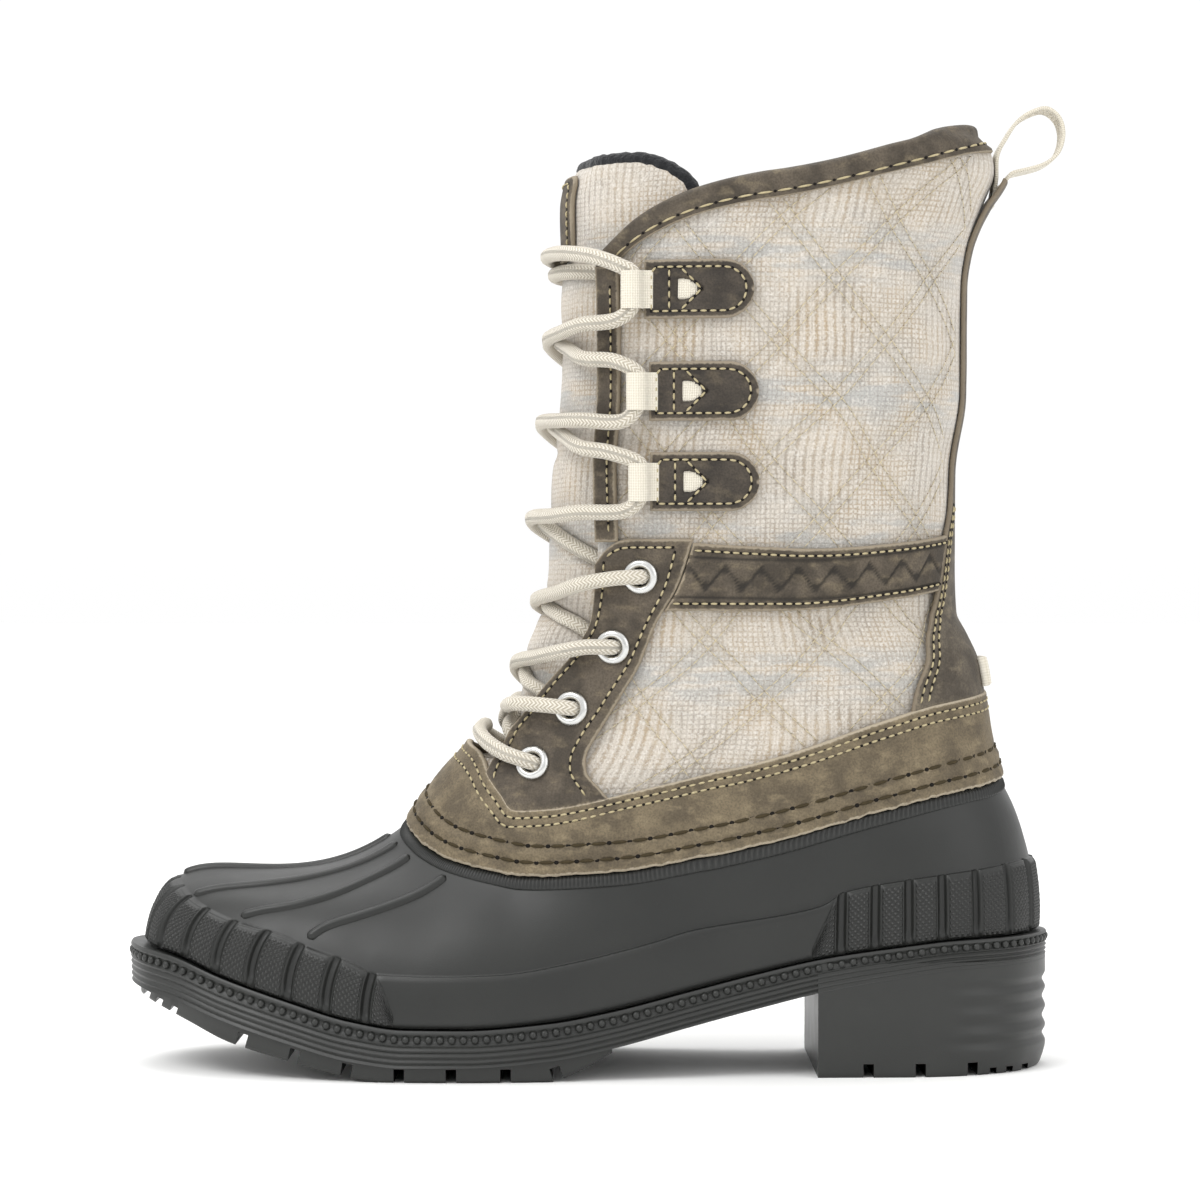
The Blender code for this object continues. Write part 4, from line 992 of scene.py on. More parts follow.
def piece(name, points, faces, material, stands_for=(), place=None, inner_material=None, inner_from=None):
    """One named mesh that rides on the boot and takes the place of the named solids."""
    points = np.asarray(points, float).reshape(-1, 3)
    mesh = bpy.data.meshes.new(name)
    faces = np.asarray(faces)
    mesh.vertices.add(len(points))
    mesh.vertices.foreach_set("co", (points * MM).ravel())
    mesh.loops.add(faces.size)
    mesh.loops.foreach_set("vertex_index", faces.ravel().astype(np.int32))
    mesh.polygons.add(len(faces))
    mesh.polygons.foreach_set("loop_start", np.arange(0, faces.size, faces.shape[1], dtype=np.int32))
    mesh.update(calc_edges=True)
    mesh.polygons.foreach_set("use_smooth", np.ones(len(faces), bool))
    mesh.materials.append(material)
    if inner_material:
        mesh.materials.append(inner_material)
        mesh.polygons.foreach_set("material_index", (faces.min(1) >= inner_from).astype(np.int32))
    if place is not None:
        data = mesh.attributes.new("place", "FLOAT_VECTOR", "POINT").data
        data.foreach_set("vector", np.asarray(place, np.float32).ravel())
    made = linked(name, mesh)
    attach(made, "root")
    if stands_for:
        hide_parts(*stands_for)
    return made


def walled(outer, inner, wrap=False, cells=None):
    """Points and faces of the solid between two grids, closed along each free edge of the kept cells."""
    columns, rows = outer.shape[:2]
    size = columns * rows
    spans = columns if wrap else columns - 1
    if cells is None:
        cells = np.ones((spans, rows - 1), bool)
    i, j = np.nonzero(cells)
    k = (i + 1) % columns
    ring = np.stack([i * rows + j, k * rows + j, k * rows + j + 1, i * rows + j + 1], 1)
    ends = np.concatenate([ring[:, [a, (a + 1) % 4]] for a in range(4)])
    known = set(map(tuple, ends.tolist()))
    free = np.array([(a, b) for a, b in known if (b, a) not in known])
    free = free[np.lexsort(free.T)]
    sides = np.stack([free[:, 1], free[:, 0], size + free[:, 0], size + free[:, 1]], 1)
    faces = np.concatenate([ring, size + ring[:, ::-1], sides])
    points = np.concatenate([outer.reshape(-1, 3), inner.reshape(-1, 3)])
    used, faces = np.unique(faces, return_inverse=True)
    return points[used], faces.reshape(-1, 4), used


def both_faces(used, *values):
    """Place of each used point of a walled grid, the same on its outer and inner face."""
    place = np.stack(np.broadcast_arrays(*values), -1).reshape(-1, 3)
    return np.concatenate([place, place])[used]


def clear_cells(points, holes):
    """Cells of a grid whose middle lies outside the eyelet holes at these places."""
    middle = (points[:-1, :-1] + points[1:, 1:]) / 2
    cells = np.ones(middle.shape[:2], bool)
    for centre in holes:
        cells &= np.linalg.norm(middle - centre, axis=-1) > EYELET_HOLE
    return cells


def repeated(faces, count, size):
    """Faces of so many copies of a shape with `size` points."""
    return (faces[None] + (np.arange(count) * size)[:, None, None]).reshape(-1, 3)


def shares(count):
    """Shares from 0 to 1, close together at both ends."""
    return (1 - np.cos(np.pi * np.linspace(0, 1, count))) / 2


def border_distance(points, wrap=False):
    """Distance of each grid point to the nearest edge of the grid, along its row or column."""
    near = []
    for axis in (0, 1):
        step = np.linalg.norm(np.diff(points, axis=axis), axis=-1)
        run = np.concatenate([np.zeros_like(step.take([0], axis)), np.cumsum(step, axis)], axis)
        near.append(np.minimum(run, run.take([-1], axis) - run))
    return near[1] if wrap else np.minimum(*near)


def sheet(
    name,
    turn,
    height,
    material,
    stands_for,
    lift=LAY,
    thick=LEATHER,
    relief=0.0,
    wrap=False,
    holes=(),
    pressed=0.0,
):
    """Piece laid on the shaft over a grid of turns and heights, with rounded edges and a low relief."""
    turn, height = np.broadcast_arrays(turn, height)
    base = shaft(turn, height, lift)
    near = border_distance(base, wrap)
    roll = np.sqrt(1 - (1 - np.clip(near, 0, 1)) ** 2)
    swell = ripple(base[..., 0] + base[..., 1], base[..., 2], 13.0, 5) * 0.08
    rise = thick * (0.35 + 0.65 * roll) + (relief + swell) * np.clip(near / 1.5, 0, 1)
    outer = base + shaft_normal(turn, height) * rise[..., None]
    points, faces, used = walled(outer, base, wrap, clear_cells(base, holes) if holes else None)
    # Edge of the place: worn rims above 0, pressed lines below 0, which the leather darkens with painted
    # shade
    worn = 1 - np.clip(near / EDGE_WEAR, 0, 1) + np.clip(pressed, -1, 0)
    piece(name, points, faces, material, stands_for, both_faces(used, arc(turn), height, worn))


def tube_spokes(path, sides):
    """Angles round a tube and its spokes at each point of a path, turning as little as they can."""
    ahead = unit(np.gradient(path, axis=0))
    across = np.cross(ahead[0], (0.3, 0.2, 1.0))
    found = []
    for direction in ahead:
        across = unit(across - direction * np.dot(across, direction))
        found.append(across)
    across = np.array(found)[:, None]
    upright = np.cross(ahead, across[:, 0])[:, None]
    angle = 2 * math.pi * np.arange(sides) / sides
    return angle, np.cos(angle)[None, :, None] * across + np.sin(angle)[None, :, None] * upright


def grid_faces(columns, rows, wrap_rows=False):
    """Quads of a grid whose point index is column * rows + row."""
    i = np.arange(columns - 1)[:, None]
    j = np.arange(rows if wrap_rows else rows - 1)[None, :]
    k = (j + 1) % rows
    return np.stack([i * rows + j, (i + 1) * rows + j, (i + 1) * rows + k, i * rows + k], -1).reshape(-1, 4)


def capped_tube(rings):
    """Triangles of a tube of rings with its two ends closed."""
    columns, rows = rings.shape[:2]
    caps = np.array([(k, k + 1, rows - 2 - k, rows - 1 - k) for k in range(rows // 2)])
    quads = np.concatenate([grid_faces(columns, rows, True), caps, (columns - 1) * rows + caps[:, ::-1]])
    return rings.reshape(-1, 3), as_triangles(quads)


# Stitches are gathered here by kind and made at the end: middle, way along and way up of each
SEAMS = {"cream": [], "heavy": [], "long": [], "quilt": []}
STITCH = {
    # pitch, length, radius, hole radius, sides, rings
    "cream": (2.9, 2.4, 0.33, 0.46, 6, 4),
    "heavy": (6.3, 5.2, 0.52, 0.66, 8, 5),
    "long": (6.1, 4.5, 0.33, 0.46, 6, 5),
    "quilt": (2.9, 2.5, 0.18, 0.15, 4, 3),
}


def sew(kind, line, up):
    """Adds a row of stitches along a line on the surface, with the surface's way up at each point."""
    pitch = STITCH[kind][0]
    both = evenly(np.hstack([line, up]), pitch)
    points, up = both[:, :3], both[:, 3:]
    SEAMS[kind].append(((points[1:] + points[:-1]) / 2, points[1:] - points[:-1], (up[1:] + up[:-1]) / 2))


def sew_on(kind, turn, height, lift):
    """Row of stitches on the shaft."""
    turn, height = np.broadcast_arrays(np.asarray(turn, float), np.asarray(height, float))
    sew(kind, shaft(turn, height, lift), shaft_normal(turn, height))


def make_stitches(kind, material, name, hole_shade_material=HOLE_SHADE):
    pitch, length, radius, size, sides, rings = STITCH[kind]
    middle, along, up = (np.concatenate(values) for values in zip(*SEAMS[kind]))
    along = unit(along)
    up = unit(up - along * np.sum(up * along, 1, keepdims=True))
    across = np.cross(up, along)
    run = np.linspace(-0.5, 0.5, rings)
    swell = np.sqrt(np.clip(1 - (2 * run) ** 4, 0.08, 1))
    angle = 2 * math.pi * np.arange(sides) / sides
    local = np.zeros((rings, sides, 3))
    local[..., 0] = (run * length)[:, None]
    local[..., 1] = radius * swell[:, None] * np.cos(angle)
    local[..., 2] = radius * swell[:, None] * np.sin(angle) + radius * (0.7 - 4 * run**2)[:, None]
    points, faces = capped_tube(local)
    spread = np.einsum("mk,nkc->nmc", points, np.stack([along, across, up], 1)) + middle[:, None]
    piece(name, spread, repeated(faces, len(middle), len(points)), material)
    # Dark discs at each stitch end stand in for the shade in the needle holes: painted shade
    ends = middle + along * pitch / 2 + up * 0.05
    disc = [across * math.cos(q) * size + along * math.sin(q) * size * 1.2 for q in angle]
    rim = ends[:, None] + np.stack(disc, 1)
    rims = np.concatenate([rim + up[:, None] * 0.06, rim - up[:, None] * 0.3], 1)
    top = np.array([(0, k, k + 1) for k in range(1, sides - 1)])
    wall = [(k, (k + 1) % sides, sides + k) for k in range(sides)]
    wall += [((k + 1) % sides, sides + (k + 1) % sides, sides + k) for k in range(sides)]
    disc_faces = np.concatenate([top, sides + top[:, ::-1], np.array(wall)])
    piece(name + "_holes", rims, repeated(disc_faces, len(ends), 2 * sides), hole_shade_material)


# Sole


def outline_ways(count):
    """Ways around the whole outline: heel to toe along the lateral side, then back."""
    up = np.linspace(0, 1, count)
    return np.concatenate([up, -up[-2:0:-1]])


def side_out(share):
    """How far the sole side stands out at a share of its depth: lip, bead channel, then fine ribs."""
    lip = -LIP_ROUND * (1 - np.clip(share / LIP_SHARE, 0, 1)) ** 2
    across = np.clip((share - LIP_SHARE) / (CHANNEL_END - LIP_SHARE), 0, 1)
    channel = -CHANNEL_DEPTH * np.sin(np.pi * across)
    down = np.clip((share - CHANNEL_END) / (1 - CHANNEL_END), 0, 1)
    ribs = -RIB_DEPTH * (0.5 - 0.5 * np.cos(2 * np.pi * SIDE_RIBS * down)) - SIDE_TAPER * down
    return lip + channel + ribs


def ladder_caps(columns):
    """Quads that close a ring which runs up one side and back down the other."""
    size = 2 * columns - 2
    return np.array([[i, i + 1, size - i - 1, (size - i) % size] for i in range(columns - 1)])


def joined(parts):
    points, faces, base = [], [], 0
    for some_points, some_faces in parts:
        points.append(np.asarray(some_points, float).reshape(-1, 3))
        faces.append(np.asarray(some_faces) + base)
        base += len(points[-1])
    return np.concatenate(points), np.concatenate(faces)


def as_triangles(quads):
    """Both triangles of each quad, without those that have no area."""
    quads = np.asarray(quads)
    faces = np.concatenate([quads[:, [0, 1, 2]], quads[:, [0, 2, 3]]])
    same = (faces[:, 0] == faces[:, 1]) | (faces[:, 1] == faces[:, 2]) | (faces[:, 0] == faces[:, 2])
    return faces[~same]


def sole_plate():
    columns = 190
    ways = outline_ways(columns)
    edge, _ = on_outline(ways, 0.0)
    rings = []
    for share in np.concatenate([np.linspace(0, CHANNEL_END, 14), np.linspace(CHANNEL_END, 1, 26)[1:]]):
        plan, _ = on_outline(ways, -side_out(share))
        rings.append(np.column_stack([plan, lip_height(edge[:, 0]) - share * curve(SOLE, 2, edge[:, 0])]))
    rings = np.array(rings)
    quads = grid_faces(len(rings), rings.shape[1], True)
    caps = ladder_caps(columns)
    last = (len(rings) - 1) * rings.shape[1]
    return rings, as_triangles(np.concatenate([quads, caps, last + caps[:, ::-1]]))


def side_limits(x, inset):
    up = np.linspace(0, 1, 300)
    limits = []
    for way in (up, -up):
        plan, _ = on_outline(way, inset)
        limits.append(np.interp(-x, -plan[:, 0], plan[:, 1]))
    return limits


def forefoot_tread():
    """Cross sections of the tread, bevelled at the ground edge."""
    sections = []
    for x in np.linspace(TREAD_FRONT, TREAD_BACK, 100):
        low, high = side_limits(x, TREAD_INSET)
        ground = float(curve(TREAD, 1, x))
        bevel = ground + TREAD_BEVEL_RISE
        inside = max(float(lip_height(x) - curve(SOLE, 2, x)) + TREAD_BURIED, ground + 2.0)
        bottom = [(x, low + TREAD_BEVEL, ground), (x, high - TREAD_BEVEL, ground)]
        sides = [(x, high - 0.5, bevel), (x, high, inside), (x, low, inside), (x, low + 0.5, bevel)]
        sections.append(bottom + sides)
    return capped_tube(np.array(sections))


def heel_block():
    way = np.concatenate([np.linspace(0.0, HEEL_BACK_WAY, 26), np.linspace(HEEL_BACK_WAY, HEEL_WAY, 24)[1:]])
    ways = np.concatenate([way[::-1], -way[1:]])
    levels = np.concatenate([[0.0, 0.5, HEEL_ROUND_RISE], np.linspace(2, HEEL_TOP, 90)])
    rings = []
    for height in levels:
        plan, out = on_outline(ways, HEEL_INSET)
        back = smooth(SCOOP_FROM, SCOOP_TO, plan[:, 0])
        round_edge = HEEL_ROUND * (1 - np.clip(height / HEEL_ROUND_RISE, 0, 1)) ** 2
        scoop = curve(HEEL_LEVELS, 1, height) * back + round_edge
        plan = plan - out * scoop[:, None]
        plan[[0, -1], 0] = HEEL_BREAST
        rings.append(np.column_stack([plan, np.full(len(plan), height)]))
    return capped_tube(np.array(rings))


def scratch_object(points, faces):
    mesh = bpy.data.meshes.new("scratch")
    mesh.from_pydata((np.asarray(points).reshape(-1, 3) * MM).tolist(), [], np.asarray(faces).tolist())
    return linked("scratch", mesh)


BOX_FACES = ((0, 1, 3, 2), (4, 6, 7, 5), (0, 4, 5, 1), (2, 3, 7, 6), (0, 2, 6, 4), (1, 5, 7, 3))


def cut(points, faces, boxes):
    """Points and triangles after cutting boxes away: each box has a place, a size and a tip about Y."""
    target = scratch_object(points, faces)
    corners = np.array([(a, b, c) for a in (-0.5, 0.5) for b in (-0.5, 0.5) for c in (-0.5, 0.5)])
    solids = []
    for place, size, pitch in boxes:
        local = corners * size
        c, s = math.cos(pitch), math.sin(pitch)
        x, y, z = local.T
        solids.append((np.stack([c * x + s * z, y, c * z - s * x], 1) + place, BOX_FACES))
    tool = scratch_object(*joined(solids))
    step = target.modifiers.new("cut", "BOOLEAN")
    step.operation, step.object, step.solver = "DIFFERENCE", tool, "EXACT"
    mesh = bpy.data.meshes.new_from_object(target.evaluated_get(bpy.context.evaluated_depsgraph_get()))
    mesh.calc_loop_triangles()
    points = np.array([v.co for v in mesh.vertices]) / MM
    faces = np.array([t.vertices for t in mesh.loop_triangles])
    for old in (target, tool):
        bpy.data.objects.remove(old)
    return points, faces


def notch(x, width, depth):
    ground, pitch = 0.0, 0.0
    if x < HEEL_BREAST / 2:
        ground = float(curve(TREAD, 1, x))
        pitch = -math.atan(float(curve(TREAD, 1, x + 1) - curve(TREAD, 1, x - 1)) / 2)
    return (x, 0.0, ground), (width, 140.0, 2 * depth), pitch


def notched(solid, big_places, small_places, grooves):
    """A tread solid with its cross notches and then its lengthwise grooves cut away."""
    notches = [notch(x, NOTCH_WIDTH, NOTCH_DEPTH) for x in big_places]
    notches += [notch(x, SMALL_NOTCH, NOTCH_DEPTH / 2) for x in small_places]
    depth = 2 * NOTCH_DEPTH - 2
    lengthwise = [((x, y, 0.0), (length, NOTCH_WIDTH, depth), 0.0) for x, y, length in grooves]
    return cut(*cut(*solid, notches), lengthwise)


def outsole():
    tread = notched(forefoot_tread(), FOREFOOT_NOTCHES, TOE_NOTCHES, LONG_CUTS)
    heel = notched(heel_block(), HEEL_NOTCHES, SMALL_HEEL_NOTCHES, HEEL_LONG_CUTS)
    made = piece("outsole_rubber", *joined([sole_plate(), tread, heel]), SOLE_RUBBER, ["outsole"])
    sharpen(made, SHARP_ANGLE)
    beads()


def sharpen(made, angle):
    """Flat shading across edges that turn more than the angle."""
    shape = bmesh.new()
    shape.from_mesh(made.data)
    for edge in shape.edges:
        edge.smooth = not edge.is_manifold or edge.calc_face_angle() < math.radians(angle)
    shape.to_mesh(made.data)
    shape.free()


def dome(sides, rings):
    """Points and triangles of a unit ball, with its pole along the last axis."""
    tilt = np.linspace(0.12, math.pi - 0.12, rings)
    turn = 2 * math.pi * np.arange(sides) / sides
    wide, up = np.sin(tilt)[:, None], np.cos(tilt)[:, None]
    return capped_tube(np.stack([wide * np.cos(turn), wide * np.sin(turn), up + 0 * turn], -1))


def beads():
    """Row of beads in the channel round the sole."""
    ball, faces = dome(8, 6)
    run = sum(half[1][-1] for half in HALVES)
    ways = np.linspace(-1, 1, int(run / BEAD_PITCH), endpoint=False)
    edge, _ = on_outline(ways, 0.0)
    share = (LIP_SHARE + CHANNEL_END) / 2
    plan, _ = on_outline(ways, BEAD_INSET)
    height = lip_height(edge[:, 0]) - share * curve(SOLE, 2, edge[:, 0])
    centre = np.column_stack([plan, height])
    points = centre[:, None] + ball[None] * BEAD_RADIUS
    piece("sole_beads", points, repeated(faces, len(ways), len(ball)), SOLE_RUBBER)


def insole():
    look = Look("insole_felt", 0.95, Specular_IOR_Level=0.1, Sheen_Weight=0.3)
    look.colour(look.mix(look.noise(3, 5), (40, 41, 44), (66, 67, 70)))
    look.bump(look.noise(0.9, 4), 0.4, 0.8)
    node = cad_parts["insole"]
    node.data.materials.clear()
    node.data.materials.append(look.material)


# Rubber shell


def shell_column(way, share):
    """Point of the plain shell surface; share runs from 0 at the sole to 1 at the leather band."""
    around = np.abs(way)
    turn = np.where(way < 0, -1, 1) * curve(SHELL, 1, around)
    rise, lean, flare, drop = (curve(SHELL, column, around)[..., None] for column in (2, 3, 4, 5))
    edge, out = on_outline(way, 0.0)
    plan = edge - out * curve(SHELL, 6, around)[..., None]
    up, flat = np.array([0.0, 0.0, 1.0]), np.zeros(out.shape[:-1] + (1,))
    out = np.concatenate([out, flat], -1)
    foot = np.concatenate([plan, (lip_height(edge[..., 0]) + LAY)[..., None]], -1)
    head = shaft(turn, band_edge(turn, 1))
    reach = foot - head
    reach[..., 2] = 0
    reach /= np.maximum(np.linalg.norm(reach, axis=-1, keepdims=True), SHORT_REACH)
    low = foot + up * rise + out * lean
    high = head + reach * flare - up * drop
    t = np.asarray(share, float)[..., None]
    return (1 - t) ** 3 * foot + 3 * t * (1 - t) ** 2 * low + 3 * t * t * (1 - t) * high + t**3 * head


def share_at_height(way, height):
    low, high = np.zeros_like(way), np.full_like(way, 0.75)
    for _ in range(30):
        middle = (low + high) / 2
        below = shell_column(way, middle)[..., 2] < height
        low, high = np.where(below, middle, low), np.where(below, high, middle)
    return (low + high) / 2


def groove_depth(way):
    """1 at the middle of a bumper groove and 0 away from grooves."""
    heel = np.abs(way) * SIDE_ARC
    toe = SIDE_ARC - heel
    near = np.full(np.shape(way), 99.0)
    for place in HEEL_GROOVES:
        near = np.minimum(near, np.abs(heel - place))
    for places, side in ((LATERAL_TOE_GROOVES, way >= 0), (MEDIAL_TOE_GROOVES, way < 0)):
        for place in places:
            near = np.where(side, np.minimum(near, np.abs(toe - place)), near)
    return 1 - smooth(GROOVE_HALF * 0.45, GROOVE_HALF * 1.1, near)


def shell_normal(points):
    around = np.roll(points, -1, 0) - np.roll(points, 1, 0)
    normal = unit(np.cross(around, np.gradient(points, axis=1)))
    return normal * np.where(np.sum(normal * (points - (0, 0, 20)), -1, keepdims=True) < 0, -1, 1)


def shell_ways():
    """Ways around the shell, closer together at the grooves."""
    near = np.array((-1.9, -1.5, -1.1, -0.7, 0, 0.7, 1.1, 1.5, 1.9))
    heel = [(place + near) / SIDE_ARC for place in HEEL_GROOVES]
    sides = []
    for places in (LATERAL_TOE_GROOVES, MEDIAL_TOE_GROOVES):
        toe = [1 - (place + near) / SIDE_ARC for place in places]
        sides.append(np.unique(np.concatenate([np.linspace(0, 1, 120), *heel, *toe])))
    lateral, medial = sides
    return np.concatenate([lateral, -medial[-2:0:-1]])


def tucked_edge(turn, lift):
    """Two rows of the shell that run on under the leather band."""
    return np.stack([shaft(turn, band_edge(turn, 1) + rise, lift) for rise in TUCK_RISES], 1)


def rubber_shell():
    ways = shell_ways()
    step = share_at_height(ways, curve(STEP, 1, np.abs(ways)))[:, None]
    low = np.linspace(0, 1, 9)[None, :-1] * step
    lip = step + (1 - step) * np.array([0, 0.003, 0.006, 0.010, 0.014, 0.019, 0.026])[None]
    high = step + (1 - step) * np.concatenate([np.linspace(0.04, 0.94, 20), [0.96, 0.98, 1.0]])[None]
    share = np.concatenate([low, lip, high], 1)
    way = np.repeat(ways[:, None], share.shape[1], 1)
    plain = shell_column(way, share)
    normal = shell_normal(plain)
    _, out = on_outline(ways, 0.0)
    out = np.column_stack([out, np.zeros(len(ways))])[:, None]

    above = (share - step) / (1 - step)
    lower_band = 1 - smooth(0.0, 0.016, above)
    groove = groove_depth(ways)[:, None] * smooth(0.0, 0.12, share / step)
    raised = (RAISED - (RAISED - GROOVE_RAISED) * groove) * lower_band
    soft = 0.25 * ripple(plain[..., 0] + plain[..., 1], plain[..., 2], 31.0, 8) * smooth(0.05, 0.3, above)
    outer = plain + out * raised[..., None] + normal * soft[..., None]
    turn = np.where(ways < 0, -1, 1) * curve(SHELL, 1, np.abs(ways))
    outer = np.concatenate([outer, tucked_edge(turn, TUCK_LIFT)], 1)
    lining = np.concatenate([plain - normal * SHELL_WALL, tucked_edge(turn, LINING_TUCK_LIFT)], 1)
    points, faces, _ = walled(outer, lining, True)
    piece("shell_rubber", points, faces, RUBBER, ["rubber_shell"], None, FLEECE, outer.size // 3)
    knurled_pads()
    shell_rim()
    toe_ridges()


def shell_place(way, share):
    """Point and outward normal of the plain shell."""
    small = 0.002
    around = shell_column(way - small, share) - shell_column(way - 3 * small, share)
    up = shell_column(way, share + small) - shell_column(way, share - small)
    return shell_column(way, share), unit(np.cross(up, around))


def toe_ridges():
    """Rounded ridges that run back over the toe."""
    profile = [*RIDGE_HALF_PROFILE, *((-across, up) for across, up in RIDGE_HALF_PROFILE[-2::-1])]
    parts = []
    for number, ridge in enumerate(TOE_RIDGES):
        for side in (1, -1) if number else (1,):
            line = evenly(spline(np.array(ridge) * (1, 100), 10, False), 0.5) / (1, 100)
            points, normal = shell_place(1 - line[:, 0] / SIDE_ARC, line[:, 1])
            both = evenly(np.hstack([points, normal]), RIDGE_PITCH)
            points, normal = both[:, :3], both[:, 3:]
            normal[:, 2] = np.abs(normal[:, 2])
            across = unit(np.cross(unit(np.gradient(points, axis=0)), normal))
            end = np.minimum(np.arange(len(points)), np.arange(len(points))[::-1]) * RIDGE_PITCH
            full = np.sqrt(np.clip(1 - (1 - np.clip(end / 1.6, 0.02, 1)) ** 2, 0, 1))
            rings = [
                points + (across * a * RIDGE_HALF + normal * np.where(h > 0, h * RIDGE, h)) * full[:, None]
                for a, h in profile
            ]
            rings = np.stack(rings, 1)
            if side < 0:
                rings = mirrored_on_shell(rings)
            parts.append(capped_tube(rings))
    piece("toe_ridges", *joined(parts), RUBBER)


def mirrored_on_shell(points):
    """The same place on the medial side of the toe."""
    x, y, z = np.moveaxis(points, -1, 0)
    return np.stack([x, 2 * swing(x) - y, z], -1)


def pad_spans():
    """Start and end of each pad of the bumpers as signed distances, from the toe or from the heel."""
    medial, lateral = [-place for place in MEDIAL_TOE_GROOVES[::-1]], list(LATERAL_TOE_GROOVES)
    toe = [medial[0] - PAD_END] + medial + lateral + [lateral[-1] + PAD_END]
    heel = [-place for place in HEEL_GROOVES[::-1]] + list(HEEL_GROOVES)
    heel = [heel[0] - PAD_END] + heel + [heel[-1] + PAD_END]
    for marks, name in ((toe, "toe"), (heel, "heel")):
        for first, last in zip(marks[:-1], marks[1:]):
            ends = (first == marks[0], last == marks[-1])
            start = first + (0.0 if ends[0] else GROOVE_HALF * 1.1)
            end = last - (0.0 if ends[1] else GROOVE_HALF * 1.1)
            yield name, start, end, ends


def pad_marks(length):
    """Distances across a pad: close together at its rim, then one for each tip and valley of the knurl."""
    count = max(3, round((length - 2 * PAD_RIM) / (KNURL / 2)) + 1)
    field = np.linspace(PAD_RIM, length - PAD_RIM, count)
    return np.concatenate([[0.0, 0.4 * PAD_RIM], field, [length - 0.4 * PAD_RIM, length]])


def knurled_pads():
    """Pads of the bumpers; u and v count tips and valleys, and edge is 1 on the knurled field."""
    parts, places = {"toe": [], "heel": []}, {"toe": [], "heel": []}
    for name, start, end, ends in pad_spans():
        run = start + pad_marks(end - start)
        ways = run / SIDE_ARC
        if name == "toe":
            ways = np.where(run < 0, -1, 1) * (1 - np.abs(run) / SIDE_ARC)
        step = share_at_height(ways, curve(STEP, 1, np.abs(ways)))[:, None]
        reach = shell_column(ways, step[:, 0]) - shell_column(ways, 0 * step[:, 0])
        tall = np.linalg.norm(reach, axis=1).max()
        rise = 0.99 * pad_marks(tall)[None] / tall
        top = np.ones((len(run), 1))
        if any(ends):
            slope = (run - run[0])[:, None] / (run[-1] - run[0])
            slope = 1 - slope if ends[0] else slope
            top = 1 - 0.8 * slope**1.3
        way = np.repeat(ways[:, None], rise.shape[1], 1)
        points = shell_column(way, rise * top * step)
        _, out = on_outline(ways, 0.0)
        out = np.column_stack([out, np.zeros(len(ways))])[:, None]
        across, up = np.meshgrid(np.arange(len(run)), np.arange(rise.shape[1]), indexing="ij")
        near = border_distance(points)
        below_top = np.linalg.norm(points - points[:, -1:], axis=-1)
        field = smooth(0.3, PAD_RIM, near) * smooth(0.8, 1.4, below_top)
        lift = RAISED - 0.25 + 0.6 * smooth(0.0, PAD_RIM, near) ** 0.6
        lift = lift + KNURL_HEIGHT * field * ((across + up) % 2 == 0)
        some_points, faces, used = walled(points + out * lift[..., None], points + out * (RAISED - 0.6))
        parts[name].append((some_points, faces))
        # field also marks where the rubber paints highlight on the knurl tips and shade in its valleys
        places[name].append(both_faces(used, across, up, field))
    for name, some in parts.items():
        piece(f"{name}_pads", *joined(some), KNURLED_RUBBER, (), np.concatenate(places[name]))


def shell_rim():
    """Ribbed rim of the shell under the edge of the leather."""
    columns = 2 * int(2 * SIDE_ARC / RIM_PITCH * 2)
    ways = np.linspace(-1, 1, columns, endpoint=False)
    head = shell_column(ways, np.ones_like(ways))
    below = shell_column(ways, np.full_like(ways, 0.9))
    reach = 0.1 * RIM_WIDTH / np.linalg.norm(head - below, axis=1)
    rows = np.array([-1.0, -0.86, -0.5, -0.14, 0.0])[None]
    points = shell_column(np.repeat(ways[:, None], rows.shape[1], 1), 1 + rows * reach[:, None])
    normal = shell_normal(points)
    ribs = 0.5 + 0.5 * np.cos(2 * np.pi * np.arange(columns) / 4)[:, None]
    body = np.clip(1 - np.abs(rows + 0.5) * 2, 0, 1) ** 0.5
    lift = 0.2 + 0.55 * body + 0.7 * (ribs - 0.5) * body
    points_out, faces, used = walled(points + normal * lift[..., None], points - normal * 0.4, True)
    # Rib tops painted lighter and the hollows between ribs darker: painted highlight and painted shade,
    # passed as edge
    painted_shading = (1.3 * (ribs - 0.55) * body).ravel()
    painted_shading = np.concatenate([painted_shading, 0 * painted_shading])[used]
    piece("shell_rim", points_out, faces, RUBBER, (), np.column_stack([0 * painted_shading, 0 * painted_shading, painted_shading]))


# Wool shaft and tongue


QUILT_CENTRE = float(arc(turn_at(QUILT_X, QUILT_HEIGHT)))
QUILT_SPACING = 1 / math.hypot(1 / QUILT_ACROSS, 1 / QUILT_UP)


def quilt_drift(u, v):
    """Small wander of the quilting lines, across and up."""
    return 1.2 * ripple(u, v, 46.0, 51), 1.2 * ripple(u, v, 39.0, 52)


def quilt_relief(u, v):
    """Relief of the quilting at arc u and height v: 0 at the top of a puff, falling to the stitched lines."""
    across, up = quilt_drift(np.abs(u), v)
    p, q = (np.abs(u) + across - QUILT_CENTRE) / QUILT_ACROSS, (v + up - QUILT_HEIGHT) / QUILT_UP
    near = [np.abs((line + 0.5) % 1 - 0.5) * QUILT_SPACING for line in (p + q, p - q)]
    shape = 1.0
    for distance in near:
        beyond = np.clip(distance - QUILT_PAIR, 0, None)
        puff = 1 - np.exp(-((beyond / PUFF_REACH) ** 1.5))
        strip = 0.22 * np.clip(1 - (distance / QUILT_PAIR) ** 2, 0, 1)
        shape = shape * np.maximum(puff, strip)
    return PUFF * (shape - 1)


def seam(turn):
    return band_edge(turn, 1) + SEAM_RISE


def eyelet_centres():
    for side in SIDES:
        for x, height in EYELETS:
            turn = mirrored(turn_at(x, height), side)
            yield shaft(turn, height), shaft_normal(turn, height)


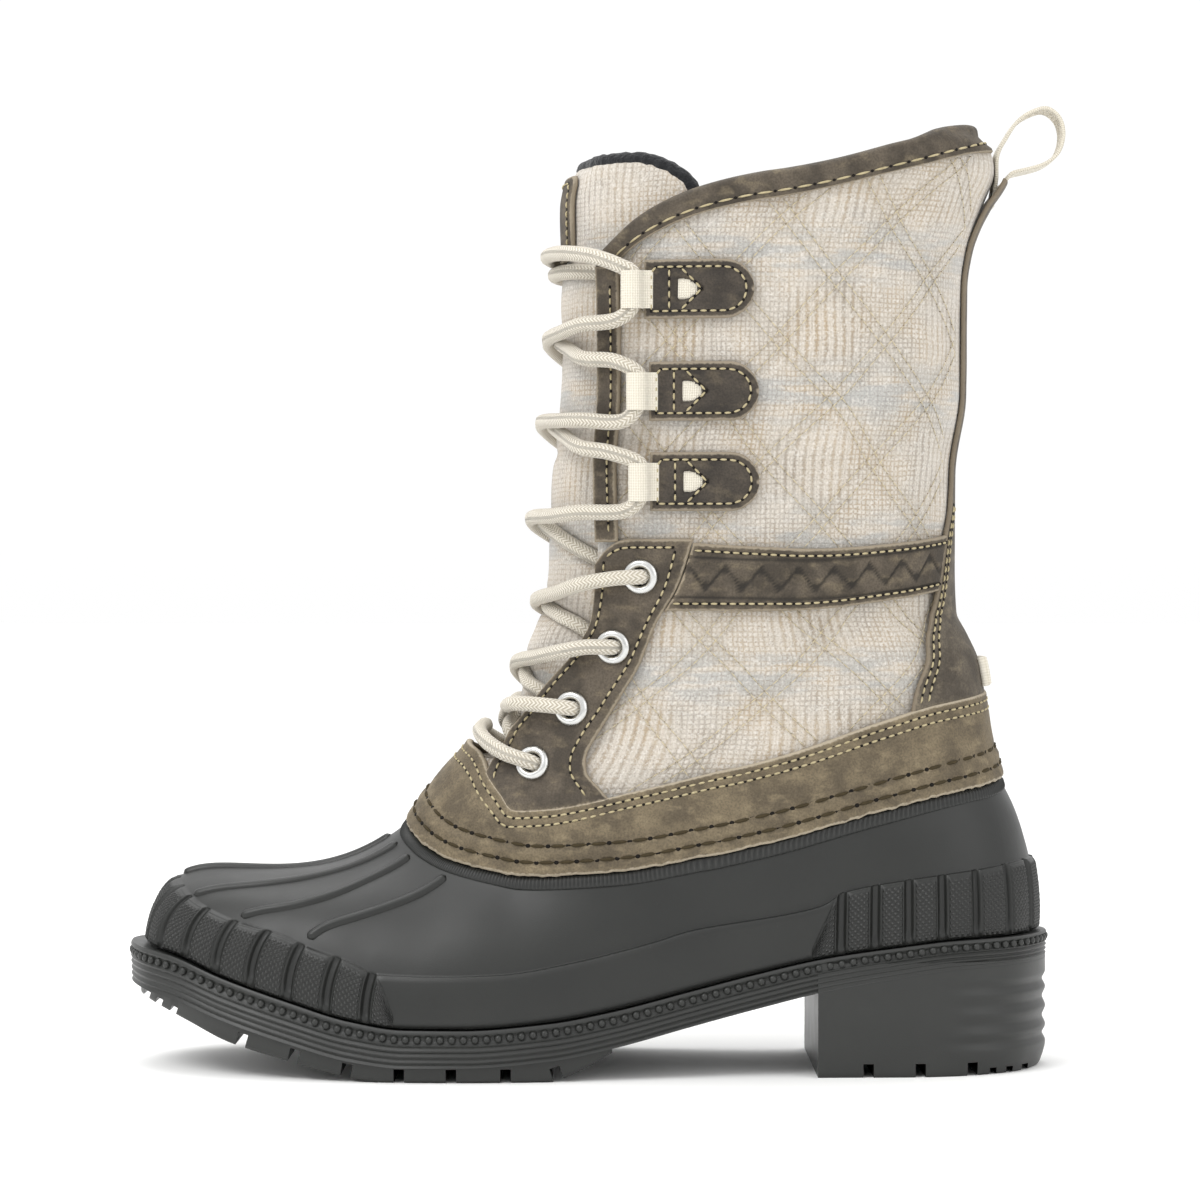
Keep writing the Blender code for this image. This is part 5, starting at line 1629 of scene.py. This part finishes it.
def wool_shaft():
    share = np.linspace(1, -1, WOOL_COLUMNS)
    rows = []
    for part in np.linspace(0, 1, WOOL_ROWS):
        rows.append(settle(share, lambda turn: seam(turn) + (collar_height(turn) - seam(turn)) * part))
    turn, height = (np.stack(values, 1) for values in zip(*rows))
    u = arc(turn)
    relief = quilt_relief(u, height)
    slack = 0.5 * ripple(u, height, 26.0, 3) + 0.22 * ripple(u, height, 6.5, 4) - 0.3
    from_rim = np.minimum(collar_height(turn) - height, height - seam(turn))
    edge = 1 - np.clip(from_rim / 6.0, 0, 1)
    plain = np.maximum(0.8 * edge, 1 - smooth(8.0, 26.0, folded(turn)))
    outer = shaft(turn, height, (relief + slack) * (1 - plain))
    fuzz = 0.35 * ripple(u, height, 4.0, 9)
    inner = shaft(turn, height, -WALL - 0.4 + fuzz)
    holes = [centre for centre, _ in eyelet_centres()]
    points, faces, used = walled(outer, inner, False, clear_cells(shaft(turn, height), holes))
    # Painted shade along the deepest parts of the quilting channels, passed as the place's edge
    channel_shade = np.clip(-relief / PUFF - 0.75, 0, 1) * 2
    place = both_faces(used, u, height, channel_shade)
    inside_from = int(np.searchsorted(used, turn.size))
    piece("quilted_shaft", points, faces, WOOL, ["shaft"], place, FLEECE, inside_from)
    front_ring()
    quilt_stitches()


def front_ring():
    """Wool below the foot of the throat, round the front, under the leather."""
    turn = np.linspace(144, 216, 60)[:, None]
    low = seam(turn)
    height = low + (VAMP_TOP - low) * np.linspace(0, 1, 12)[None]
    points, faces, used = walled(shaft(turn, height, -0.1), shaft(turn, height, -WALL))
    piece("vamp_wool", points, faces, WOOL, (), both_faces(used, arc(turn), height, 0.0))


def quilt_stitches():
    """Double rows of thread along both families of quilting lines, on both sides."""
    run = np.linspace(-400, 400, 1600)
    lines = product((1, -1), (1, -1), range(-9, 14), (-QUILT_PAIR, QUILT_PAIR))
    for side, lean, number, pair in lines:
        p = number + pair / QUILT_SPACING - lean * (run / QUILT_UP)
        u, v = QUILT_CENTRE + p * QUILT_ACROSS, QUILT_HEIGHT + run
        across, up = quilt_drift(u, v)
        u, v = u - across, v - up
        turn = np.interp(u, ARC_RUN, ARC_TURNS, -1, 999)
        inside = (turn > 3) & (turn < throat_turn(v) - 3) & (v < curve(COLLAR, 1, turn) - 8) & (v > 70)
        inside &= v > curve(BAND, 2, np.clip(turn, 0, 180)) + 0.5
        found = np.nonzero(inside)[0]
        for some in np.split(found, np.nonzero(np.diff(found) > 1)[0] + 1):
            if len(some) > 14:
                lift = quilt_relief(u[some], v[some]) + 0.1
                sew_on("quilt", side * turn[some], v[some], lift)


def tongue_grid(columns, rows):
    ahead = np.linspace(0, 1, columns)[:, None]
    height = np.linspace(TONGUE_FOOT, TONGUE_TOP, rows)[None] - np.zeros_like(ahead)
    corner = np.clip((np.abs(2 * ahead - 1) - 0.72) / 0.28, 0, 1) ** 2 * TONGUE_CORNER
    height = height - corner * np.clip((height - TONGUE_TOP + 60) / 60, 0, 1)
    edge = curve(TONGUE_EDGE, 1, height)
    return edge + (360 - 2 * edge) * ahead, height


def tongue_lift(turn, height):
    return TONGUE_LIFT - curve(TONGUE_SINK, 1, height) * smooth(140.0, 160.0, folded(turn))


def dents(points, normal, path, radius):
    """How far a cord along the path presses into a soft grid of points, measured against the normals."""
    flat, out = points.reshape(-1, 3), normal.reshape(-1, 3)
    pushed = np.zeros(len(flat))
    for start in range(0, len(flat), 400):
        some = slice(start, start + 400)
        way = path[None] - flat[some, None]
        rise = np.sum(way * out[some, None], -1)
        side = np.sum(way * way, -1) - rise**2
        depth = np.sqrt(np.clip(radius**2 - side, 0, None)) - rise
        depth = np.where((side < radius**2) & (np.abs(rise) < 2 * radius), depth, 0)
        pushed[some] = np.clip(depth, 0, None).max(1)
    pushed = pushed.reshape(points.shape[:2])
    soft = pushed
    for _ in range(4):
        wide = np.pad(soft, 1, mode="edge")
        around = wide[:-2, 1:-1] + wide[2:, 1:-1] + wide[1:-1, :-2] + wide[1:-1, 2:]
        soft = (around + 2 * wide[1:-1, 1:-1]) / 6
    return np.maximum(soft, pushed)


def tongue():
    turn, height = tongue_grid(78, 130)
    u = arc(turn)
    folds = 0.5 * ripple(u, height, 22.0, 11) - 0.8 * np.exp(-(((height - 193) / 2.2) ** 2))
    lift = tongue_lift(turn, height)
    near = np.clip(border_distance(shaft(turn, height)) / 4.0, 0, 1)
    rise = lift + (folds - 0.2) * near - 1.2 * (1 - np.sqrt(near))
    pressed = dents(shaft(turn, height, rise), shaft_normal(turn, height), LACE_PATH, LACE / 2)
    outer = shaft(turn, height, rise - pressed)
    inner = shaft(turn, height, lift - TONGUE - pressed)
    points, faces, used = walled(outer, inner)
    place = both_faces(used, u + 20, height, 0.0)
    inside_from = int(np.searchsorted(used, turn.size))
    made = piece("tongue_wool", points, faces, WOOL, ["tongue"], place, FLEECE, inside_from)

    turn, height = tongue_grid(120, 120)
    rim = [(turn[0, k], height[0, k]) for k in range(85, 120, 3)]
    rim += [(turn[k, -1], height[k, -1]) for k in range(2, 118, 3)]
    rim += [(turn[-1, k], height[-1, k]) for k in range(119, 84, -3)]
    rim_turn, rim_height = np.array(rim).T
    path = shaft(rim_turn, rim_height - 0.4, tongue_lift(rim_turn, rim_height) - TONGUE + 0.2)
    path = evenly(spline(path, 6, False), 0.9)
    fleece_tube("tongue_fleece", path, FLEECE_RADIUS)
    tongue_badge()


def tongue_badge():
    """Plain leather patch on the front of the tongue, with round corners and a row of stitches."""
    across = (2 * shares(60) - 1)[:, None]
    corner = np.clip((np.abs(across) - 0.76) / 0.24, 0, 1)
    corner = PATCH_CORNER * (1 - np.sqrt(1 - corner**2))
    low, high = PATCH_BOTTOM + corner, PATCH_TOP - corner
    height = low + (high - low) * shares(50)[None]
    turn = 180 + PATCH_TURN * across + 0 * height
    lift = tongue_lift(turn, height)
    sheet("tongue_badge", turn, height, LEATHER_DARK, ["tongue_patch"], lift + 0.4, 1.6)
    side, low, high = PATCH_TURN - 3.8, PATCH_BOTTOM + 2.4, PATCH_TOP - 2.4
    loop = [(-side, low + 2), (-side, high - 2), (2 - side, high), (side - 2, high)]
    loop += [(side, high - 2), (side, low + 2), (side - 2, low), (2 - side, low), (-side, low + 2)]
    loop = evenly(np.array(loop), 1.0)
    sew_on("cream", 180 + loop[:, 0], loop[:, 1], tongue_lift(180 + loop[:, 0], loop[:, 1]) + 2.0)


def fleece_tube(name, path, radius):
    angle, spokes = tube_spokes(path, 14)
    run = np.arange(len(path))
    fuzz = 1 + 0.16 * ripple(run[:, None] * 0.9, angle[None] * radius * 1.3, 2.6, 21)
    piece(name, *capped_tube(path[:, None] + radius * fuzz[..., None] * spokes), FLEECE)


# Leather


def leather_band():
    turn = np.linspace(-180, 180, 380, endpoint=False)[:, None]
    share = shares(28)[None]
    low, high = band_edge(turn, 1), band_edge(turn, 2)
    height = low + (high - low) * share
    rise = height - low
    fray = 0.5 * ripple(arc(turn), 0 * turn, 2.3, 31) * np.clip(1 - rise / 1.5, 0, 1)
    along = arc(turn)
    relief = 0
    for place in HEAVY_ROWS:
        pucker = 0.35 + 0.1 * np.cos(2 * np.pi * along / STITCH["heavy"][0])
        relief = relief - pucker * np.exp(-(((rise - place) / 1.2) ** 2))
    relief = relief + 0.3 * np.exp(-(((rise - sum(HEAVY_ROWS) / 2) / 1.6) ** 2))
    for place in CREAM_ROWS:
        relief = relief - 0.22 * np.exp(-(((high - height - place) / 0.7) ** 2))
    sheet("leather_vamp", turn, height + fray, LEATHER_BAND, ["leather_band"], 0.35, 1.9, relief, True)
    turn = np.linspace(-180, 180, 900)
    low, high = band_edge(turn, 1), band_edge(turn, 2)
    for place in HEAVY_ROWS:
        sew_on("heavy", turn, low + place, 1.95)
    for place in CREAM_ROWS:
        sew_on("cream", turn, high - place, 2.0)


def eyestay_turn(share, height):
    front, rear = throat_turn(height), curve(EYESTAY, 1, height)
    return front + (rear - front) * share


def eyestay(side):
    share = shares(46)[:, None]
    top = EYESTAY_TOP - EYESTAY_DROP * (np.clip(0.4 - share, 0, 1) / 0.4) ** 2
    turn = 130.0 - 10 * share
    for _ in range(20):
        bottom = band_edge(turn, 2) - 1.0
        turn = 0.5 * turn + 0.5 * eyestay_turn(share, bottom)
    height = bottom + (top - bottom) * shares(110)[None]
    turn = mirrored(eyestay_turn(share, height), side)
    holes = [shaft(mirrored(turn_at(x, z), side), z) for x, z in EYELETS]
    sheet("eyestay_leather_" + side, turn, height, LEATHER_DARK, ["eyestay_" + side], holes=holes)

    def sew_row(across, z):
        sew_on("cream", mirrored(eyestay_turn(across, z), side), z, STITCH_LIFT)

    for inset in (0.13, 0.87):
        across = np.full(120, inset)
        base, tall = (np.interp(across, share[:, 0], edge[:, 0]) for edge in (bottom, top))
        sew_row(across, base + (tall - base) * np.linspace(0.03, 0.95, 120))
    across = np.linspace(0.16, 0.84, 60)
    sew_row(across, np.interp(across, share[:, 0], top[:, 0]) - 2.6)


def strap_emboss(along, up):
    """Running zigzag with a dot in each bay: a plain traditional border. Pressed in, from 0 to -1."""
    place = along / EMBOSS_PERIOD
    zigzag = np.abs(place % 1 * 2 - 1) * 2 - 1
    line = np.exp(-(((up - EMBOSS_TALL * zigzag) / 0.75) ** 4))
    bay = (place + 0.25) % 0.5 - 0.25
    side = np.where((place + 0.25) % 1 < 0.5, 1, -1)
    dots = np.exp(-((np.hypot(bay * EMBOSS_PERIOD, up - 2.0 * side) / 0.95) ** 4))
    rails = np.exp(-(((np.abs(up) - 6.0) / 0.45) ** 4))
    return -np.clip(line + dots + rails, 0, 1)


def strap_turn(share, height, gap):
    """Turn at a share of the way from eyestay to backstay, with a gap in degrees at both ends."""
    front, back = curve(EYESTAY, 1, height) - gap, curve(BACKSTAY, 1, height) + gap
    return front + (back - front) * share


def ankle_strap(side):
    share = shares(170)[:, None]
    low, high = curve(STRAP, 1, share), curve(STRAP, 2, share)
    height = low + (high - low) * shares(38)[None]
    turn = strap_turn(share, height, 0.2)
    pressed = strap_emboss(arc(turn) - 60.0, height - (low + high) / 2)
    # pressed sinks the emboss and also sets the painted shade in its lines
    relief = EMBOSS_DEPTH * pressed
    name, nodes = "ankle_strap_leather_" + side, ["ankle_strap_" + side]
    sheet(name, mirrored(turn, side), height, LEATHER_DARK, nodes, relief=relief, pressed=pressed)
    for edge in (low + 2.2, high - 2.2):
        z = edge[:, 0]
        sew_on("cream", mirrored(strap_turn(share[:, 0], z, 1.0), side), z, STITCH_LIFT)


def backstay():
    share = 2 * shares(40)[:, None] - 1
    turn = share * 48.0
    for _ in range(20):
        bottom = band_edge(turn, 2) - 1.0
        turn = 0.5 * turn + 0.5 * share * curve(BACKSTAY, 1, bottom)
    height = bottom + (BACKSTAY_TOP - bottom) * shares(120)[None]
    turn = share * curve(BACKSTAY, 1, height)
    lift = curve(BACKSTAY, 2, height) - BACK_LAY + 0.3
    sheet("backstay_leather", turn, height, BACK_LEATHER, ["backstay"], lift, 1.4)
    z = np.linspace(114.0, 176.0, 120)
    for side in (1, -1):
        for inset in (2.0, 4.4):
            rim = curve(BACKSTAY, 1, z) - inset / 0.9
            low = z > band_edge(rim, 2) + 1.0
            if inset > 3:
                low &= rim > 3.0
            sew_on("cream", side * rim[low], z[low], curve(BACKSTAY, 2, z[low]) + 0.75)

    turn = HEEL_TAB_TURN * (2 * shares(26) - 1)[:, None]
    height = HEEL_TAB_LOW + (HEEL_TAB_HIGH - HEEL_TAB_LOW) * shares(18)[None]
    tape_sheet("heel_loop", turn, height, ["heel_tab"], BACK_LAY + 0.75, 2.6)


def tape_sheet(name, turn, height, stands_for, lift, thick):
    turn, height = np.broadcast_arrays(turn, height)
    base = shaft(turn, height, lift)
    roll = np.sqrt(1 - (1 - np.clip(border_distance(base) / 0.8, 0, 1)) ** 2)
    outer = base + shaft_normal(turn, height) * (thick * (0.4 + 0.6 * roll))[..., None]
    points, faces, used = walled(outer, base)
    piece(name, points, faces, TAPE, stands_for, both_faces(used, arc(turn), height, 0.0))


def collar_binding():
    """Leather rolled over the collar edge."""
    turn, _ = settle(np.linspace(1, -1, 240), collar_height)
    turn *= 0.997
    top = collar_height(turn)
    profile = [(0.15, -7.6), (0.9, -7.5), (1.15, -6.9), (1.05, -5.2), (1.3, -3.0)]
    for q in np.linspace(0, math.pi, 11):
        across = -WALL / 2 + COLLAR_CROWN * math.cos(q) * 1.05
        profile.append((across, COLLAR_CROWN * 0.75 * math.sin(q) - 0.7))
    profile += [(-WALL - 1.6, -3.0), (-WALL - 1.5, -6.0), (-WALL - 0.3, -6.2)]
    run = arc(turn)
    crease = 0.14 * ripple(run, 0 * run, 3.4, 41)
    rings = np.stack([shaft(turn, top + rise, lift + crease * (lift > 0.5)) for lift, rise in profile], 1)
    points, faces = capped_tube(rings)
    near = [1.0 if k < 2 else 0.15 if k < 4 else 0.0 for k in range(len(profile))]
    place = np.stack(np.broadcast_arrays(run[:, None], top[:, None], np.array(near)[None]), -1)
    piece("collar_leather", points, faces, LEATHER_DARK, ["collar_binding"], place.reshape(-1, 3))
    fine = np.linspace(-1, 1, 500) * folded(turn[0]) * 0.985
    sew_on("long", fine, collar_height(fine) - 5.6, 1.15)


def throat_strip(side):
    def behind(height, width):
        front = throat_turn(height)
        return turn_at(shaft_surface(front, height)[..., 0] + width, height)

    height = (STRIP_LOW + (STRIP_HIGH - STRIP_LOW) * shares(90))[None]
    front, rear = throat_turn(height), behind(height, STRIP_WIDTH)
    turn = mirrored(front + (rear - front) * shares(18)[:, None], side)
    name, nodes = "throat_strip_leather_" + side, ["throat_strip_" + side]
    sheet(name, turn, height + 0 * turn, LEATHER_DARK, nodes, 0.3, 1.5)
    z = np.linspace(167.0, 242.0, 160)
    sew_on("cream", mirrored(behind(z, 4.6), side), z, 1.85)


def lace_tab(side, number, middle, front):
    """Tab with a square front and round back, a small five-sided window and rows of stitches."""

    def tab_turn(along, height):
        return mirrored(turn_at(front + along, height), side)

    def taper(along):
        return WINDOW_HALF - (along - WINDOW_FRONT) * WINDOW_TAPER

    along = TAB_LENGTH * shares(62)[:, None]
    past = np.clip(along - TAB_STRAIGHT, 0, TAB_HALF - 0.01)
    up = np.sqrt(TAB_HALF**2 - past**2) * (2 * shares(38)[None] - 1)
    window = np.clip(np.minimum(along - WINDOW_FRONT, taper(along) - np.abs(up)) / 0.5, 0, 1)
    window = window * (np.abs(up) < 3.4)
    name, nodes = f"lace_tab_leather_{side}_{number}", [f"lace_tab_{side}_{number}"]
    sheet(name, tab_turn(along, middle + up), middle + up, TAB_LEATHER, nodes, 0.35, 1.7, -1.15 * window)
    inset = 2.3
    half = TAB_HALF - inset
    bend = np.linspace(0.2, 2.94, 14)
    rim = [(inset, -half), (TAB_STRAIGHT, -half)]
    rim += [(TAB_STRAIGHT + half * math.sin(q), -half * math.cos(q)) for q in bend]
    rim += [(TAB_STRAIGHT, half), (inset, half), (inset, -half)]
    for row in (rim, [(7.6, -6.4), (7.6, 6.4)], [(11.0, -6.4), (17.4, 0.0), (11.0, 6.4)]):
        along, up = evenly(np.array(row), 0.8).T
        sew_on("cream", tab_turn(along, middle + up), middle + up, 2.0)
    along = np.linspace(9.2, 16.0, 14)[:, None]
    z = middle + np.linspace(-1, 1, 12)[None] * np.clip(taper(along), 0.3, 3.3)
    tape_sheet(f"tab_window_{side}_{number}", tab_turn(along, z), z, (), 0.5, 0.75)


def beside(line, gap):
    """The line of x and height again, this far to its right."""
    step = unit(np.gradient(line, axis=0))
    return line + np.stack([step[:, 1], -step[:, 0]], 1) * gap


def webbing_loop(side, number, middle, front):
    """Tape folded forward from under the tab round the lace."""
    line = spline(LOOP_OUTSIDE, 8, False)
    height = middle + LOOP_HALF * (2 * shares(16) - 1)[None] + np.zeros((len(line), 1))
    grids = []
    for path in (line, beside(line, LOOP_THICK)):
        turn = turn_at(front - path[:, :1], height)
        grids.append(shaft(mirrored(turn, side), height, path[:, 1:]))
    points, faces, used = walled(*grids)
    name, nodes = f"webbing_tape_{side}_{number}", [f"webbing_loop_{side}_{number}"]
    piece(name, points, faces, TAPE, nodes, both_faces(used, running(line)[:, None], height, 0.0))


# Hardware, loop and lace


def eyelets():
    """Rolled eyelets, each a profile turned about its own axis."""
    angle = 2 * math.pi * np.arange(48) / 48
    parts = []
    for centre, normal in eyelet_centres():
        across = unit(np.cross(normal, (0.0, 0.0, 1.0)))
        upright = np.cross(normal, across)
        spokes = np.cos(angle)[:, None] * across + np.sin(angle)[:, None] * upright
        rings = np.stack([centre + spokes * radius + normal * lift for radius, lift in EYELET_PROFILE], 1)
        rings = np.concatenate([rings, rings[:1]])
        columns, rows = rings.shape[:2]
        faces = grid_faces(columns, rows, True)
        faces[faces >= (columns - 1) * rows] -= (columns - 1) * rows
        parts.append((rings[:-1], faces))
    nodes = [f"eyelet_{side}_{k}" for side in SIDES for k in range(1, 5)]
    piece("eyelet_rings", *joined(parts), METAL, nodes)


def pull_loop():
    """Tape loop at the back, standing up from behind the backstay."""
    line = spline(PULL_LOOP, 10, False)
    line = evenly(np.vstack([[(124.2, 270.0)], line, [(127.2, 275.0)]]), PULL_PITCH)
    y = PULL_HALF * (2 * shares(14) - 1)[None]
    grids = []
    for path in (line, beside(line, PULL_THICK)):
        grids.append(np.stack(np.broadcast_arrays(path[:, :1], y, path[:, 1:]), -1))
    points, faces, used = walled(*grids)
    run = np.arange(len(line))[:, None] * PULL_PITCH
    piece("pull_loop_tape", points, faces, TAPE, ["pull_loop"], both_faces(used, run, y, 0.0))


def strand(row, over):
    """Places of one crossing, from its upper hold on the lateral side to its lower, medial hold."""
    x, upper, front, outer, lower_turn, lower, lower_lift = row
    start = float(turn_at(x, upper))
    edge, far_edge = (float(throat_turn(height)) for height in (upper, lower))
    middle = outer if over else outer - CROSS_GAP
    places = [
        (start, upper, LACE_OVER),
        (edge + 3, upper + (front - upper) * 0.3, LACE_OVER - 0.3),
        (edge + 16, upper + (front - upper) * 0.65, middle + 0.35 * (LACE_OVER - middle)),
        (180.0, front, middle),
    ]
    fall = lower - front
    if lower_lift > 0:
        places.append((360 - far_edge - 16, front + fall * 0.5, middle + 0.3 * (LACE_OVER - middle)))
        places.append((360 - far_edge - 2, front + fall * 0.85, LACE_OVER - 0.2))
    else:
        places.append((360 - lower_turn - 12, front + fall * 0.6, (middle + lower_lift) / 2))
    places.append((360 - lower_turn, lower, lower_lift))
    return places


def flipped(places):
    return [(360 - turn, height, lift) for turn, height, lift in places]


def through_eyelet(number):
    x, height = EYELETS[number]
    turn = float(turn_at(x, height))
    return [(turn + 2.0, height - 1.0, -7.0), (turn, height, -3.0), (turn, height, 2.4)]


def through_loop(number):
    middle, front = TABS[number]
    turn = float(turn_at(front - LACE_AHEAD, middle))
    return [(turn, middle + 5.0, 4.5), (turn, middle, 4.2), (turn, middle - 5.0, 4.5)]


def half_lace(top, outer_rows):
    """Places of half the lace, from its hidden top end down to the lowest lateral eyelet."""
    places, lateral = [*top, (133.5, 251.2, 4.8), (125.3, 248.2, 4.9)], True
    for number in (6, 5, 4, 3, 2, 1):
        route = through_loop(number - 4) if number > 3 else through_eyelet(3 - number)
        route = route + strand(CROSSINGS[number - 1], number in outer_rows)
        places += route if lateral else flipped(route)
        lateral = not lateral
    return places + through_eyelet(3)


def lace_path():
    """Middle line of the whole lace: down one side, across the lowest bar and up the other side."""
    x, height = EYELETS[3][0] - 6.6, EYELETS[3][1] + 1.5
    bar = [(float(turn_at(x, height)), height, LACE_OVER), (152.0, 100.2, 4.4)]
    bar += [(165.0, 104.4, 2.2), (180.0, 107.0, -1.0)]
    first = half_lace(TOP_PLACES[0], (6, 4, 2)) + bar
    second = half_lace(TOP_PLACES[1], (5, 3, 1)) + bar[:-1]
    path = shaft(*np.array(first + flipped(second)[::-1]).T)
    return evenly(spline(path, 24, False), LACE_PITCH)


LACE_PATH = lace_path()


def squashed(offsets):
    """Offsets of the cord's rings from its middle line, flattened where two strands cross."""
    for row in CROSSINGS:
        crossing = shaft(180.0, row[2], row[3] - CROSS_GAP / 2)
        out = shaft_normal(180.0, row[2])
        share = LACE_SQUASH * np.exp(-((np.linalg.norm(LACE_PATH - crossing, axis=1) / 4.0) ** 2))
        offsets = offsets - share[:, None, None] * (offsets @ out)[..., None] * out
    return offsets


def lace():
    angle, spokes = tube_spokes(LACE_PATH, 16)
    run = (np.arange(len(LACE_PATH)) * LACE_PITCH)[:, None]
    radius = LACE / 2 - 0.07 * np.cos(LACE_COLUMNS * angle)
    rings = LACE_PATH[:, None] + squashed(radius[None, :, None] * spokes)
    place = np.stack(np.broadcast_arrays(run, angle[None], 0 * run), -1).reshape(-1, 3)
    nodes = ["lace_bar_bottom", "lace_bar_top_upper", "lace_bar_top_lower"]
    nodes += [f"lace_cross_{k}" for k in range(1, 7)]
    piece("lace", *capped_tube(rings), CORD, nodes, place)


# Stage


def stage():
    mesh = bpy.data.meshes.new("floor")
    corners = [(x * FLOOR_HALF, y * FLOOR_HALF, 0) for x, y in ((-1, -1), (1, -1), (1, 1), (-1, 1))]
    mesh.from_pydata(corners, [], [(0, 1, 2, 3)])
    floor = bpy.data.objects.new("floor", mesh)
    bpy.context.scene.collection.objects.link(floor)
    look = Look("pale_floor", 0.9, Specular_IOR_Level=0.1)
    look.colour(look.mix(look.noise(300, 2), (243, 243, 242), (247, 247, 246)))
    mesh.materials.append(look.material)

    world = bpy.data.worlds.new("studio")
    bpy.context.scene.world = world
    world.use_nodes = True
    tree = world.node_tree
    direction = tree.nodes.new("ShaderNodeTexCoord").outputs["Generated"]
    parts = tree.nodes.new("ShaderNodeSeparateXYZ")
    tree.links.new(direction, parts.inputs[0])
    glow = tree.nodes.new("ShaderNodeMapRange")
    tree.links.new(parts.outputs["Z"], glow.inputs["Value"])
    for socket, number in zip(glow.inputs[1:5], (0.0, 1.0, HORIZON, ZENITH)):
        socket.default_value = number
    tree.links.new(glow.outputs[0], tree.nodes["Background"].inputs["Strength"])
    tree.nodes["Background"].inputs["Color"].default_value = (1.0, 1.0, 1.0, 1.0)
    for name, place, size, power in LIGHTS:
        light = bpy.data.lights.new(name, "AREA")
        light.size, light.energy = size, power
        lamp = bpy.data.objects.new(name, light)
        bpy.context.scene.collection.objects.link(lamp)
        lamp.location = place
        aim = bpy.data.objects["floor"].location.copy()
        aim.z = AIM_HEIGHT
        lamp.rotation_euler = (aim - lamp.location).to_track_quat("-Z", "Y").to_euler()

    scene = bpy.context.scene
    scene.view_settings.view_transform = "Standard"
    camera = bpy.data.objects.new("camera", bpy.data.cameras.new("camera"))
    scene.collection.objects.link(camera)
    camera.location = (CAMERA_X * MM, -CAMERA_DISTANCE * MM, CAMERA_HEIGHT * MM)
    camera.rotation_euler = (math.pi / 2, 0, 0)
    camera.data.sensor_width = SENSOR
    camera.data.lens = SENSOR * CAMERA_DISTANCE / FRAME_WIDTH
    scene.camera = camera


def build():
    stage()
    outsole()
    rubber_shell()
    insole()
    wool_shaft()
    tongue()
    leather_band()
    backstay()
    collar_binding()
    for side in SIDES:
        eyestay(side)
        ankle_strap(side)
        throat_strip(side)
        for number, (middle, front) in enumerate(TABS, 1):
            lace_tab(side, number, middle, front)
            webbing_loop(side, number, middle, front)
    eyelets()
    pull_loop()
    lace()
    make_stitches("cream", THREAD, "cream_stitches")
    make_stitches("long", THREAD, "collar_stitches")
    make_stitches("heavy", HEAVY_THREAD, "heavy_stitches")
    make_stitches("quilt", QUILT_THREAD, "quilt_stitches", QUILT_HOLE_SHADE)


build()
